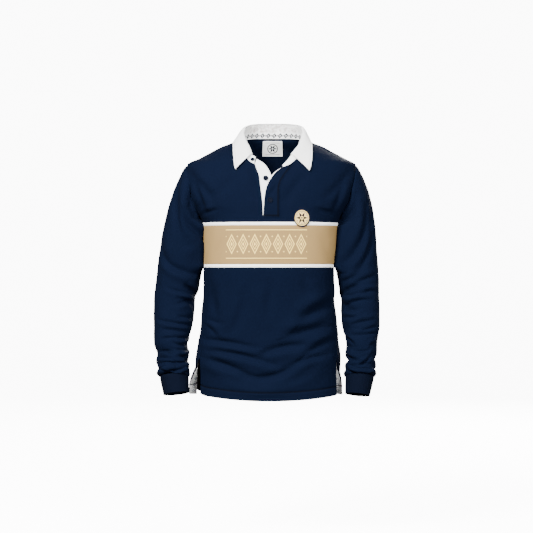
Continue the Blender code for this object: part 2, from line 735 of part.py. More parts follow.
def sleeve_ring(side, turn, level):
    """Point of a sleeve below its head; turn 0 is outside and 90 is in front."""
    rows = SLEEVES[side]
    outer, inner = between(rows, "level", "outer", level), between(rows, "level", "inner", level)
    middle = between(rows, "level", "middle", level)
    angle = math.radians(turn)
    rise = sleeve_fold_rise(side, turn, level)
    half_width = 0.5 * abs(outer - inner) + rise
    half_depth = between(rows, "level", "depth", level) + rise
    across = half_width * signed_power(math.cos(angle), 2 / SLEEVE_SQUARE)
    forward = half_depth * signed_power(math.sin(angle), 2 / SLEEVE_SQUARE)
    lift = between(rows, "level", "rise", level) * forward
    return Vector((0.5 * (outer + inner) + side * across, middle - forward, level + lift))


def sleeve_head(side, turn, share):
    """Point of a sleeve's head, which runs from the armhole to the first ring."""
    top = 0.5 * (1 + math.cos(math.radians(turn)))
    back = turn > 180.0
    level = blend(UNDERARM, SHOULDER_POINT, top)
    start = body_point(level, side * armhole_turn(level, back))
    depth = math.sin(math.radians(turn))
    leave = Vector((side * blend(*HEAD_OUT, top), -HEAD_FORWARD * depth, -HEAD_DOWN)).normalized()
    leave *= blend(*HEAD_LEAVE, top)
    start += Vector((side * ARMHOLE_GAP, 0, 0)) + leave.normalized() * ARMHOLE_GAP * (1 - top)
    end = sleeve_ring(side, turn, HEAD_LEVEL)
    arrive = sleeve_ring(side, turn, HEAD_LEVEL - HEAD_STEP) - end
    arrive *= blend(*HEAD_ARRIVE, top) / HEAD_STEP
    t = share
    return (
        start * (2 * t**3 - 3 * t**2 + 1)
        + leave * (t**3 - 2 * t**2 + t)
        + end * (3 * t**2 - 2 * t**3)
        + arrive * (t**3 - t**2)
    )


def sleeve_point(side, turn, share):
    """Point of a sleeve at a share of its rows from armhole to cuff."""
    if share < HEAD_SHARE:
        return sleeve_head(side, turn, share / HEAD_SHARE)
    part = (share - HEAD_SHARE) / (1 - HEAD_SHARE)
    level = blend(HEAD_LEVEL, SLEEVE_END, 1 - (1 - part) ** SLEEVE_CROWDING)
    return sleeve_ring(side, turn, level)


def cuff_point(side, turn, share):
    """Point of a cuff at a share of its length down."""
    ends = [row for row in CUFF if row["side"] == side]
    size = {key: blend(ends[0][key], ends[1][key], share) for key in ends[0]}
    angle = math.radians(turn)
    across = side * size["half_width"] * math.cos(angle)
    forward = size["half_depth"] * math.sin(angle)
    lift = size["rise"] * forward - side * size["lean"] * across
    return Vector((size["x"] + across, size["y"] - forward, size["level"] + lift))


def add_sleeves():
    """Sleeves and their cuffs."""
    for side, hand in ((-1, "right"), (1, "left")):
        tube("sleeve_" + hand, SLEEVE_COLUMNS, SLEEVE_ROWS,
             lambda turn, share, side=side: sleeve_point(side, turn, share), NAVY)
        tube("cuff_" + hand, SLEEVE_COLUMNS, CUFF_ROWS,
             lambda turn, share, side=side: cuff_point(side, turn, share), NAVY, CUFF_WALL)


# Collar, tape and label

def collar_side(share, ends):
    """Side and turn at a share of the way from one front end to the other."""
    turn = blend(-ends[-1], ends[1], share)
    return (1 if turn > 0 else -1), abs(turn)


def stand_place(u, v):
    """Point of the collar stand, from its seam up to its fold."""
    side, turn = collar_side(u, STAND_END)
    seam, fold = collar_point(side, turn, "seam"), collar_point(side, turn, "fold")
    up = fold - seam
    return seam + up.normalized() * COLLAR_GAP + up * v * (1 - COLLAR_GAP / up.length)


def leaf_place(u, v):
    """Point of the collar leaf, which rolls over the fold and falls to its edge."""
    side, turn = collar_side(u, LEAF_END)
    up, away = stand_axes(side, turn)
    start = collar_point(side, turn, "fold") + up * LEAF_LIFT + away * 0.5 * COLLAR_WALL
    bend = start + away * LEAF_ROLL + up * LEAF_CREST
    edge = collar_point(side, turn, "edge")
    point = start * (1 - v) ** 2 + bend * 2 * v * (1 - v) + edge * v * v
    if turn > NECK_POINT_TURN:
        chest = body_point(point.z, turn_at_x(point.x, point.z)).y
        point.y = min(point.y, chest - LEAF_CLEAR + LEAF_FREE * (1 - v) ** 4)
    return point


def neck_tape_place(u, v):
    """Point of the tape that covers the back neck seam on the inside."""
    turn = blend(-NECK_TAPE_TURN, NECK_TAPE_TURN, u)
    side = 1 if turn > 0 else -1
    inset = blend(NECK_TAPE_INSET, NECK_TAPE_LEAN * NECK_TAPE_INSET, v)
    seam = collar_point(side, abs(turn), "seam")
    return seam - outward(turn) * inset + Vector((0, 0, (v - 0.5) * NECK_TAPE_HEIGHT))


def add_collar():
    """Collar stand and leaf, neck tape and neck label."""
    panel("collar_stand", COLLAR_COLUMNS, 2, stand_place, WHITE, COLLAR_ROUGH, COLLAR_WALL)
    panel("collar_leaf", COLLAR_COLUMNS, 4, leaf_place, WHITE, COLLAR_ROUGH, COLLAR_WALL)
    panel("neck_tape", NECK_TAPE_COLUMNS, 1, neck_tape_place, WHITE, TAPE_ROUGH, TAPE_WALL)

    def label_place(u, v):
        x = blend(LABEL["left"], LABEL["right"], u)
        inset = blend(LABEL_INSET["bottom"], LABEL_INSET["top"], v)
        return back_surface(x, blend(LABEL["bottom"], LABEL["top"], v), -inset)

    panel("neck_label", *LABEL_GRID, label_place, WHITE, PRINT_ROUGH, TAPE_WALL)


# Placket, vents, badge and buttons

def strip_place(strip, over_free, over_join, out, foot=0.0):
    """Placing of a placket strip that reaches a little past its edges."""
    rows = STRIPS[strip]

    def place(u, v):
        at = blend(foot, len(rows) - 1, v)
        free = Vector([between(rows, "row", "free_" + axis, at) for axis in ("x", "level")])
        join = Vector([between(rows, "row", "join_" + axis, at) for axis in ("x", "level")])
        along = (join - free).normalized()
        spot = (free - along * over_free).lerp(join + along * over_join, u)
        return front_surface(spot.x, spot.y, out)

    return place


def add_placket():
    """Placket strips: white under strip, navy over strip and its white facing."""
    columns, rows = PLACKET_GRID
    under = strip_place("under", 0, PLACKET_TURN_IN, -UNDER_LAYER)
    over = strip_place("over", 0, PLACKET_TURN_IN, OVER_LAYER)
    facing = strip_place("over", FACING_SHOWS, -FACING_INSET, 0.0, FACING_FOOT)
    panel("under_placket", columns, rows, under, WHITE)
    panel("over_placket", columns, rows, over, NAVY)
    panel("placket_facing", columns - 1, rows, facing, WHITE)


def add_vent_tapes():
    """Tapes inside the back's edges at the vents, flat on the panel's own facets."""
    place_on_back = lower_place(True)
    for side, hand in ((-1, "right"), (1, "left")):

        def facet(column, row, side=side):
            share = column / BODY_COLUMNS
            return place_on_back(share if side > 0 else 1 - share, row / LOWER_ROWS)

        def place(u, v, side=side, facet=facet):
            row = min(max(VENT_TAPE_ROWS * v, VENT_TAPE_FOOT), VENT_TAPE_HEAD)
            low = math.floor(row)
            corners = [facet(0, low), facet(1, low), facet(0, low + 1), facet(1, low + 1)]
            edge = corners[0].lerp(corners[2], row - low)
            inner = corners[1].lerp(corners[3], row - low)
            across = (inner - edge).normalized()
            up = (corners[2] - corners[0]) + (corners[3] - corners[1])
            inward = across.cross(up).normalized() * -side
            width = min(VENT_TAPE_WIDTH, (inner - edge).length - 2 * VENT_TAPE_EDGE)
            return edge + across * (VENT_TAPE_EDGE + width * u) + inward * VENT_TAPE_INSET

        panel("vent_tape_" + hand, 2, VENT_TAPE_ROWS, place, WHITE, TAPE_ROUGH, TAPE_WALL)


def add_badge():
    """Round sewn-on badge on the wearer's left chest."""
    out = 0.5 * (WALL + BADGE_WALL) + LAYER_GAP
    maker = bmesh.new()

    def place(u, v):
        angle = 2 * math.pi * u
        x = BADGE_X + BADGE_RADIUS * v * math.cos(angle)
        level = BADGE_LEVEL + BADGE_TALL * BADGE_RADIUS * v * math.sin(angle)
        return front_surface(x, level, out)

    add_grid(maker, BADGE_SIDES, 2, place)
    bmesh.ops.remove_doubles(maker, verts=maker.verts, dist=MERGE)
    finish_object("chest_badge", maker, CREAM, PRINT_ROUGH, BADGE_WALL)


def add_button(name, centre, towards, radius):
    """Turned button with a raised rim, its back on the cloth."""
    maker = bmesh.new()
    points = [Vector((radius * across, 0, BUTTON_THICK * up)) for across, up in BUTTON_PROFILE]
    verts = [maker.verts.new(point) for point in points]
    edges = [maker.edges.new(pair) for pair in zip(verts, verts[1:])]
    bmesh.ops.spin(maker, geom=verts + edges, cent=(0, 0, 0), axis=(0, 0, 1),
                   angle=2 * math.pi, steps=BUTTON_SIDES, use_merge=True)
    bmesh.ops.remove_doubles(maker, verts=maker.verts, dist=MERGE)
    button = finish_object(name, maker, NAVY, BUTTON_ROUGH)
    button.location = centre
    button.rotation_euler = towards.to_track_quat("Z", "Y").to_euler()


def add_buttons():
    """Two placket buttons and the stand's button."""
    for row in BUTTONS:
        surface = row["layer"] + 0.5 * WALL + LAYER_GAP
        centre = front_surface(row["x"], row["level"], surface)
        towards = front_surface(row["x"], row["level"], surface + 0.01) - centre
        add_button(row["name"], centre, towards, BUTTON_RADIUS)
    away = stand_axes(-1, STAND_BUTTON_TURN)[1]
    seam = collar_point(-1, STAND_BUTTON_TURN, "seam")
    centre = seam.lerp(collar_point(-1, STAND_BUTTON_TURN, "fold"), STAND_BUTTON_SHARE)
    centre += away * (0.5 * COLLAR_WALL + STAND_BUTTON_GAP)
    add_button("stand_button", centre, away, STAND_BUTTON_RADIUS)


def main():
    """Build every piece in one collection."""
    start_clean()
    jersey = bpy.data.collections.new("sports_jersey")
    bpy.context.scene.collection.children.link(jersey)
    add_body()
    add_sleeves()
    add_collar()
    add_placket()
    add_vent_tapes()
    add_badge()
    add_buttons()


main()
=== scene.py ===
"""Looks of a long-sleeved sports jersey in the hollow form that it takes when worn.

Metres, +Z up; the front faces -Y and the wearer's left is at +X. Each cloth
piece is a thin shell on the form of its solid, with finer folds and its sewing.
"""

import math

import bmesh
import bpy
import numpy as np
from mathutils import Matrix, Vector, noise


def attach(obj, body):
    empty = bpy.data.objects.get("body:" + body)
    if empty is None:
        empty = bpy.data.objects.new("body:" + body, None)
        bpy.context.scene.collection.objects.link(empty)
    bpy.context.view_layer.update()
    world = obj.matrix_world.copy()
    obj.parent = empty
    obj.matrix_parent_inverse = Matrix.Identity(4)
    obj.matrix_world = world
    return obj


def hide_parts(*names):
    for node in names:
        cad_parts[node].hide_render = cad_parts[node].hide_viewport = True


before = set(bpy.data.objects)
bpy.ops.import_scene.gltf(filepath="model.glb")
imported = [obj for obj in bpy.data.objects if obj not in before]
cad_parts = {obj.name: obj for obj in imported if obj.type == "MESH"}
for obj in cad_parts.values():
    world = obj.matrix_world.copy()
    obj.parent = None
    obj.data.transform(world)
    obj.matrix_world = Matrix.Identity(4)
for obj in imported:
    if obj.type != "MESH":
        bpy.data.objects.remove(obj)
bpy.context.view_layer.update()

# Camera: level, at the photograph's distance, for a square picture
CAMERA_AT = (-0.0097, -5.0, -0.3433)
PICTURE_WIDTH = 1.4817
SENSOR = 36.0

# Cloth walls, seams and layers
WALL = 0.0015
CUFF_WALL = 0.0022
COLLAR_WALL = 0.0013
TAPE_WALL = 0.0008
BADGE_WALL = 0.0012
SEAM = 0.0002
LAYER = 0.0003
TUCK = 0.0009
TUCK_WIDTH = 0.0015
MERGE = 0.00003
EDGE_LINES = (0.0008, 0.0018, 0.0032)
EDGE_MARGIN = 0.0045
SHARP_EDGE = math.radians(50)
NEAR = 1e-6

# Levels on the body, measured from the neck base
SHOULDER_POINT = -0.061
UNDERARM = -0.2225
STRIPE_HEIGHT = 0.0085
HOOP_TOP = UNDERARM
BAND_TOP = HOOP_TOP - STRIPE_HEIGHT
HOOP_BOTTOM = -0.3457
BAND_BOTTOM = HOOP_BOTTOM + STRIPE_HEIGHT
SLOT_BOTTOM = -0.2082
VENT_TOP = -0.5962
HEM_FRONT = -0.7096
HEM_BACK = -0.7120
HEM_RISE = 0.0119
HEM_RISE_AT = 0.1815
HEM_CORNER = 0.4
HEM_CORNER_FROM = 0.96

# Armholes and sleeve heads
ARMHOLE_FRONT = 0.050
ARMHOLE_BACK = 0.046
ARMHOLE_GAP = 0.0008
ARMHOLE_ROUND = 0.75
HEAD_LEVEL = -0.300
HEAD_OUT = (0.45, 0.58)
HEAD_FORWARD = 0.10
HEAD_DOWN = 0.81
HEAD_LEAVE = (0.06, 0.25)
HEAD_ARRIVE = (0.08, 0.20)
HEAD_STEP = 0.01
SLEEVE_END = -0.646
SLEEVE_SQUARE = 2.15
SLEEVE_RADIUS = 0.057

# Collar, neck tape and label
COLLAR_GAP = 0.0010
LEAF_LIFT = 0.0014
LEAF_ROLL = 0.011
LEAF_CLEAR = 0.0080
LEAF_FREE = 0.050
STAND_END = {-1: 143.0, 1: 162.0}
LEAF_END = {-1: 134.0, 1: 143.0}
STAND_JOIN = {-1: 144.0, 1: 150.0}
NECK_POINT_TURN = 90.0
NECK_TAPE_TURN = 84.0
NECK_TAPE_HEIGHT = 0.0175
NECK_TAPE_INSET = 0.0030
LABEL = {"left": -0.0213, "right": 0.0361, "bottom": -0.0308, "top": 0.0117}
LABEL_INSET = {"bottom": 0.0022, "top": 0.0050}

# Vents
FLARE_OUT = 0.034
FLARE_BACK = 0.047
FLARE_LEFT_HAND = 0.55
FLARE_FADE = 0.060
FLARE_HASTE = 1.4
VENT_TAPE_WIDTH = 0.0200
VENT_TAPE_LENGTH = 0.105
VENT_TAPE_OFF = (0.0015, 0.0080)
VENT_TAPE_ABOVE_HEM = 0.003
VENT_TAPE_BELOW_TOP = 0.002
VENT_SEARCH = 40
VENT_SEARCH_STEPS = 81

# Badge and buttons
BADGE_X = 0.0863
BADGE_LEVEL = -0.2112
BADGE_RADIUS = 0.0225
BADGE_TALL = 1.1
BADGE_BORDER_RINGS = (0.89, 0.92, 0.96, 1.0)
BADGE_BORDER = (0.87, 1.02)
BADGE_RAISED = 0.0006
BUTTON_RADIUS = 0.0070
BUTTON_THICK = 0.0028
STAND_BUTTON_RADIUS = 0.0056
STAND_BUTTON_TURN = 139.5
STAND_BUTTON_SHARE = 0.40
STAND_BUTTON_LIFT = 0.0008
BUTTON_FLOOR = 0.66
HOLE_OFF = 0.26
HOLE_SIZE = 0.13
HOLE_DEPTH = 0.0002
THREAD_SIZE = (0.10, 0.40, 0.0006)
THREAD_LIFT = 0.0003

# Button's outline from its back to its middle, as shares of its radius and thickness
BUTTON_PROFILE = (
    (0, 0), (0.84, 0), (0.95, 0.08), (1, 0.3), (1, 0.7), (0.96, 0.9), (0.88, 1), (0.80, 0.96),
    (0.74, 0.80), (0.68, 0.70), (0.5, BUTTON_FLOOR), (0, BUTTON_FLOOR),
)

# Placket layers, in and out from the front's cloth, and the strips' edges
UNDER_LAYER = 0.0024
OVER_LAYER = 0.0018
STRIP_TURN_IN = 0.003
UNDER_FOOT = 0.2
FACING_SHOWS = (0.0012, 0.0046)
FACING_INSET = 0.006
FACING_FOOT = 0.3

# Share up an upper panel from which it bends to meet the other at the shoulder
SHOULDER_SHARE = 0.55

# Distance between the places that are tried along a crease
CREASE_STEP = 0.003

# Where in a half wave a crease starts and ends its fade, then how far from the trough
# its roll lies and how wide it is, in widths of the trough
CREASE_START = 0.1
ROLL_AWAY = 1.8
ROLL_WIDTH = 1.3

# Brightness of the pale surround, and what the lights aim at
SURROUND = 0.27
LIT_PLACE = (0, 0, -0.35)

# Turn of the back's cloth inwards beside a vent
VENT_TURN_IN = 0.024
VENT_TURN_FORWARD = 0.012
VENT_TURN_REACH = 0.020

# Swelling of the sleeves in front of the body's sides, and their lap under the armholes
SWELL = 0.020
SWELL_TURN = 140
SWELL_REACH = 30
SWELL_TOP = -0.212
SWELL_LOW = -0.362
SLEEVE_CLEAR = 0.0022
LAP = 0.003
LAP_DEEP = 0.0028
LAP_WIDTH = 0.0040
SWELL_FADE = 0.020
CLEAR_FADE = 0.010
CHEST_SIDE = 0.09
CHEST_LEVEL = -0.12

# Unevenness of each cloth: the size of its waves, their height and their seed
RIPPLES = {
    "body": ((0.055, 0.0011, 1), (0.022, 0.0002, 2)),
    "sleeve": ((0.045, 0.0012, 3), (0.018, 0.0003, 4)),
    "cuff": ((0.02, 0.0006, 5),),
    "stand_crumple": ((0.006, 0.0024, 6),),
    "stand": ((0.02, 0.0004, 7),),
    "leaf_edge": ((0.03, 0.0012, 8),),
    "leaf": ((0.012, 0.0004, 9),),
    "neck_tape": ((0.015, 0.0005, 10),),
    "label": ((0.02, 0.0003, 11),),
}

# Turn at which the stand's crumpling at the back starts to fade, and its fade
CRUMPLE_TURN = 75
CRUMPLE_FADE = 25

# Middle of the neck, hem's form and mesh density
NECK_MIDDLE = (0.009, -0.012, 0.0)
HEM_DEEP = 0.024
HEM_GROOVE = 0.0016
HEM_GROOVE_WIDTH = 0.0024
HEM_THICKER = 0.0005
HEM_THICKER_FADE = 0.003
HEM_CALM = 0.3
HEM_CALM_REACH = 0.055
HOOP_CALM = 0.6
HOOP_FADE = 0.010
SIDE_FADE = 0.020
VENT_SEAM_FADE = 0.006
SEAM_RADIUS = 0.15
NECK_PULL_FROM = 0.75
BACK_PULL = 6
ARMHOLE_TUCK = 0.3
SHOULDER_TUCK = 0.5
SLEEVE_CROWDING = 1.35
NECK_TAPE_LEAN = 1.9
LEAF_BEND = 0.003
UPPER_ROWS = 66
SLEEVE_COLUMNS = 120
HEAD_FIRST_ROWS = (0.0, 0.003, 0.007, 0.013)
SLEEVE_HEAD_ROWS = 56
SLEEVE_ARM_ROWS = 140

# Print on the front band: a chain of lozenges between two thin rules
PRINT_MIDDLE = (-0.0100, -0.2823)
PRINT_COUNT = 7
PRINT_PITCH = 0.0315
PRINT_WIDTH = PRINT_COUNT * PRINT_PITCH
PRINT_HEIGHT = 0.056
PRINT_RULE = 0.0385

# Floor
FLOOR_GLOW = 10.0
FLOOR_LEVEL = -1.10
FLOOR_RADIUS = 8.0
FLOOR_CURVE = 2.5
FLOOR_TALL = 8.0

# Shares up an upper panel at which its inner edge turns
SLOT_SHARE = 1 / 11
JOIN_SHARE = 6 / 11
BACK_NECK_SHARE = 8 / 11

# Colours as linear values
NAVY = (0.0005, 0.0024, 0.0102)
TAN = (0.255, 0.165, 0.066)
WHITE = (0.90, 0.90, 0.89)
CREAM = (0.74, 0.53, 0.20)
PRINT_CREAM = (0.85, 0.60, 0.17)
INK = (0.004, 0.006, 0.012)
GREY_BLUE = (0.40, 0.42, 0.47)
# Near-black of the button holes: painted shade in the holes.
HOLE_SHADE = (0.001, 0.001, 0.002)
NECK_SHADOW = (0.42, 0.36, 0.34)
LABEL_BORDER = (0.80, 0.79, 0.77)
LABEL_GROUND = (0.92, 0.92, 0.91)


def table(columns, *rows):
    """Rows of a table as dictionaries, keyed by the column names."""
    names = columns.split()
    return [dict(zip(names, row)) for row in rows]


# Body rings from hem to neck: half widths to each side of the middle, depths to
# front and back, how square the ring is, and how far forward the side seam lies
BODY = table(
    "level left right front back square seam",
    (-0.7200, 0.2055, 0.1965, 0.1210, 0.1200, 2.20, 0.050),
    (-0.6500, 0.2050, 0.1955, 0.1190, 0.1160, 2.20, 0.050),
    (-0.6000, 0.2055, 0.1950, 0.1180, 0.1120, 2.25, 0.050),
    (-0.5600, 0.2000, 0.1910, 0.1170, 0.1080, 2.25, 0.048),
    (-0.5200, 0.1930, 0.1870, 0.1170, 0.1040, 2.30, 0.046),
    (-0.4700, 0.1890, 0.1820, 0.1180, 0.1010, 2.30, 0.043),
    (-0.4200, 0.1840, 0.1780, 0.1200, 0.1000, 2.35, 0.040),
    (-0.3500, 0.1835, 0.1780, 0.1230, 0.1020, 2.40, 0.036),
    (-0.2900, 0.1840, 0.1820, 0.1250, 0.1060, 2.40, 0.028),
    (-0.2225, 0.1870, 0.1890, 0.1260, 0.1100, 2.40, 0.012),
    (-0.2050, 0.1950, 0.1960, 0.1250, 0.1120, 2.35, 0.010),
    (-0.1800, 0.2110, 0.2130, 0.1240, 0.1130, 2.30, 0.008),
    (-0.1550, 0.2270, 0.2300, 0.1210, 0.1140, 2.25, 0.006),
    (-0.1300, 0.2340, 0.2380, 0.1180, 0.1130, 2.20, 0.004),
    (-0.1000, 0.2360, 0.2410, 0.1120, 0.1110, 2.15, 0.002),
    (-0.0610, 0.2290, 0.2380, 0.1010, 0.1050, 2.05, 0.000),
    (-0.0420, 0.1920, 0.2040, 0.0930, 0.1010, 1.95, 0.000),
    (-0.0250, 0.1610, 0.1720, 0.0830, 0.0960, 1.85, 0.000),
    (-0.0100, 0.1310, 0.1420, 0.0710, 0.0910, 1.80, 0.000),
    (0.0000, 0.1040, 0.1140, 0.0600, 0.0870, 1.75, 0.000),
    (0.0100, 0.0830, 0.0950, 0.0470, 0.0830, 1.70, 0.000),
    (0.0300, 0.0580, 0.0720, 0.0300, 0.0790, 1.70, 0.000),
)

# Collar sections from the middle of the back to each front end: where the collar
# folds, where its stand is sewn to the body, and where its leaf ends
COLLAR_PLACES = "turn fold_x fold_y fold_z seam_x seam_y seam_z edge_x edge_y edge_z"
COLLARS = {
    -1: table(
        COLLAR_PLACES,
        (0, 0.0090, 0.0700, 0.0569, 0.0090, 0.0790, 0.0255, 0.0090, 0.0930, 0.0110),
        (25, -0.0252, 0.0630, 0.0560, -0.0290, 0.0710, 0.0250, -0.0350, 0.0840, 0.0110),
        (50, -0.0530, 0.0430, 0.0515, -0.0600, 0.0490, 0.0220, -0.0700, 0.0600, 0.0110),
        (70, -0.0672, 0.0190, 0.0430, -0.0770, 0.0220, 0.0160, -0.0915, 0.0310, 0.0085),
        (90, -0.0720, -0.0060, 0.0290, -0.0840, -0.0060, 0.0070, -0.0995, -0.0030, 0.0060),
        (104, -0.0697, -0.0300, 0.0150, -0.0845, -0.0340, -0.0060, -0.1020, -0.0340, -0.0030),
        (116, -0.0636, -0.0520, -0.0024, -0.0790, -0.0620, -0.0215, -0.1015, -0.0660, -0.0230),
        (127, -0.0555, -0.0700, -0.0210, -0.0690, -0.0830, -0.0380, -0.0997, -0.0890, -0.0476),
        (134, -0.0493, -0.0780, -0.0375, -0.0600, -0.0930, -0.0530, -0.0945, -0.1030, -0.0775),
        (144, -0.0384, -0.0860, -0.0445, -0.0410, -0.1005, -0.0650, -0.0800, -0.1030, -0.0780),
    ),
    1: table(
        COLLAR_PLACES,
        (0, 0.0090, 0.0700, 0.0569, 0.0090, 0.0790, 0.0255, 0.0090, 0.0930, 0.0110),
        (25, 0.0430, 0.0630, 0.0560, 0.0470, 0.0710, 0.0250, 0.0530, 0.0840, 0.0110),
        (50, 0.0710, 0.0430, 0.0520, 0.0780, 0.0490, 0.0220, 0.0880, 0.0600, 0.0110),
        (72, 0.0870, 0.0180, 0.0440, 0.0960, 0.0210, 0.0140, 0.1070, 0.0300, 0.0070),
        (92, 0.0900, -0.0080, 0.0290, 0.1000, -0.0080, 0.0020, 0.1130, -0.0050, 0.0035),
        (111, 0.0845, -0.0330, 0.0074, 0.0985, -0.0400, -0.0110, 0.1160, -0.0370, -0.0080),
        (123, 0.0771, -0.0550, -0.0129, 0.0900, -0.0690, -0.0300, 0.1160, -0.0655, -0.0268),
        (133, 0.0684, -0.0680, -0.0245, 0.0790, -0.0850, -0.0430, 0.1142, -0.0885, -0.0514),
        (143, 0.0576, -0.0800, -0.0386, 0.0660, -0.0950, -0.0550, 0.1065, -0.1025, -0.0814),
        (152, 0.0471, -0.0880, -0.0532, 0.0538, -0.1000, -0.0650, 0.0950, -0.1040, -0.0820),
        (162, 0.0337, -0.0930, -0.0672, 0.0380, -0.1010, -0.0740, 0.0900, -0.1040, -0.0820),
    ),
}

# Placket strips from the bottom up: the free edge and the edge sewn to the front
STRIP_PLACES = "row free_x free_level join_x join_level"
STRIPS = {
    "under": table(
        STRIP_PLACES,
        (0, 0.0167, -0.2082, -0.0200, -0.2082),
        (1, 0.0165, -0.1821, -0.0208, -0.1821),
        (2, 0.0155, -0.1562, -0.0225, -0.1562),
        (3, 0.0135, -0.1320, -0.0258, -0.1320),
        (4, 0.0095, -0.1100, -0.0288, -0.1100),
        (5, 0.0030, -0.0938, -0.0305, -0.0940),
        (6, -0.0068, -0.0739, -0.0365, -0.0790),
        (7, -0.0163, -0.0623, -0.0385, -0.0700),
        (8, -0.0270, -0.0545, -0.0390, -0.0672),
        (9, -0.0370, -0.0487, -0.0405, -0.0600),
    ),
    "over": table(
        STRIP_PLACES,
        (0, -0.0179, -0.2082, 0.0220, -0.2082),
        (1, -0.0168, -0.1821, 0.0220, -0.1821),
        (2, -0.0149, -0.1562, 0.0220, -0.1562),
        (3, -0.0106, -0.1320, 0.0225, -0.1320),
        (4, -0.0032, -0.1140, 0.0260, -0.1150),
        (5, 0.0072, -0.0970, 0.0360, -0.0960),
        (6, 0.0200, -0.0830, 0.0490, -0.0770),
        (7, 0.0340, -0.0735, 0.0580, -0.0640),
    ),
}

# Sleeve rings from cuff to head: the edges that show from the front, the ring's
# middle and half depth from front to back, and its rise towards the front
SLEEVE_PLACES = "level outer inner middle depth rise"
SLEEVES = {
    -1: table(
        SLEEVE_PLACES,
        (-0.6460, -0.3025, -0.2245, -0.0470, 0.0365, 0.34),
        (-0.6360, -0.3120, -0.2213, -0.0450, 0.0430, 0.34),
        (-0.6265, -0.3070, -0.2250, -0.0420, 0.0440, 0.32),
        (-0.6150, -0.3095, -0.2224, -0.0390, 0.0460, 0.30),
        (-0.6020, -0.3140, -0.2275, -0.0350, 0.0460, 0.26),
        (-0.5835, -0.3110, -0.2243, -0.0290, 0.0450, 0.21),
        (-0.5575, -0.3200, -0.2270, -0.0210, 0.0490, 0.15),
        (-0.5000, -0.3220, -0.2150, -0.0080, 0.0540, 0.06),
        (-0.4310, -0.3220, -0.2060, 0.0050, 0.0580, 0.00),
        (-0.3890, -0.3175, -0.1975, 0.0110, 0.0600, 0.00),
        (-0.3475, -0.3130, -0.1905, 0.0120, 0.0600, 0.00),
        (-0.3000, -0.3065, -0.1895, 0.0100, 0.0600, 0.00),
    ),
    1: table(
        SLEEVE_PLACES,
        (-0.6460, 0.2860, 0.2085, -0.0470, 0.0365, 0.34),
        (-0.6360, 0.2915, 0.2050, -0.0450, 0.0430, 0.34),
        (-0.6265, 0.2870, 0.2085, -0.0420, 0.0440, 0.32),
        (-0.6150, 0.2925, 0.2070, -0.0390, 0.0460, 0.30),
        (-0.6020, 0.2890, 0.2125, -0.0350, 0.0460, 0.26),
        (-0.5835, 0.2950, 0.2095, -0.0290, 0.0450, 0.21),
        (-0.5575, 0.2960, 0.2110, -0.0210, 0.0490, 0.15),
        (-0.5000, 0.3040, 0.2010, -0.0080, 0.0540, 0.06),
        (-0.4310, 0.3040, 0.1960, 0.0050, 0.0580, 0.00),
        (-0.3890, 0.3030, 0.1910, 0.0110, 0.0600, 0.00),
        (-0.3475, 0.3010, 0.1860, 0.0120, 0.0600, 0.00),
        (-0.3000, 0.2975, 0.1890, 0.0100, 0.0600, 0.00),
    ),
}

# Cuff ends, top then bottom: the middle of each, its half widths across and in
# depth, and its rise towards the front and towards the body
CUFF = table(
    "side x y level half_width half_depth rise lean",
    (-1, -0.2635, -0.0475, -0.6475, 0.0390, 0.0360, 0.34, 0.03),
    (-1, -0.2572, -0.0660, -0.6915, 0.0343, 0.0320, 0.20, 0.10),
    (1, 0.2473, -0.0475, -0.6475, 0.0388, 0.0360, 0.34, 0.03),
    (1, 0.2400, -0.0660, -0.6945, 0.0330, 0.0320, 0.20, 0.10),
)

# Largest folds of the body, as curves through three places: face is -1 in front
BODY_FOLDS = table(
    "face x1 level1 x2 level2 x3 level3 width height",
    (-1, -0.172, -0.592, -0.020, -0.656, 0.152, -0.585, 0.014, -0.0045),
    (-1, -0.165, -0.612, -0.015, -0.682, 0.160, -0.610, 0.015, 0.0040),
    (-1, -0.165, -0.566, -0.060, -0.590, 0.020, -0.606, 0.012, -0.0030),
    (-1, -0.010, -0.575, 0.060, -0.566, 0.130, -0.545, 0.014, -0.0030),
    (-1, -0.195, -0.542, -0.150, -0.556, -0.105, -0.552, 0.012, -0.0030),
    (1, -0.150, -0.480, 0.000, -0.535, 0.150, -0.490, 0.018, -0.0050),
    (1, -0.160, -0.520, 0.010, -0.575, 0.155, -0.525, 0.016, 0.0045),
    (1, -0.130, -0.600, 0.020, -0.640, 0.150, -0.590, 0.018, -0.0040),
    (1, -0.175, -0.150, -0.120, -0.200, -0.070, -0.230, 0.016, -0.0040),
    (1, 0.180, -0.150, 0.125, -0.205, 0.070, -0.235, 0.016, -0.0040),
)

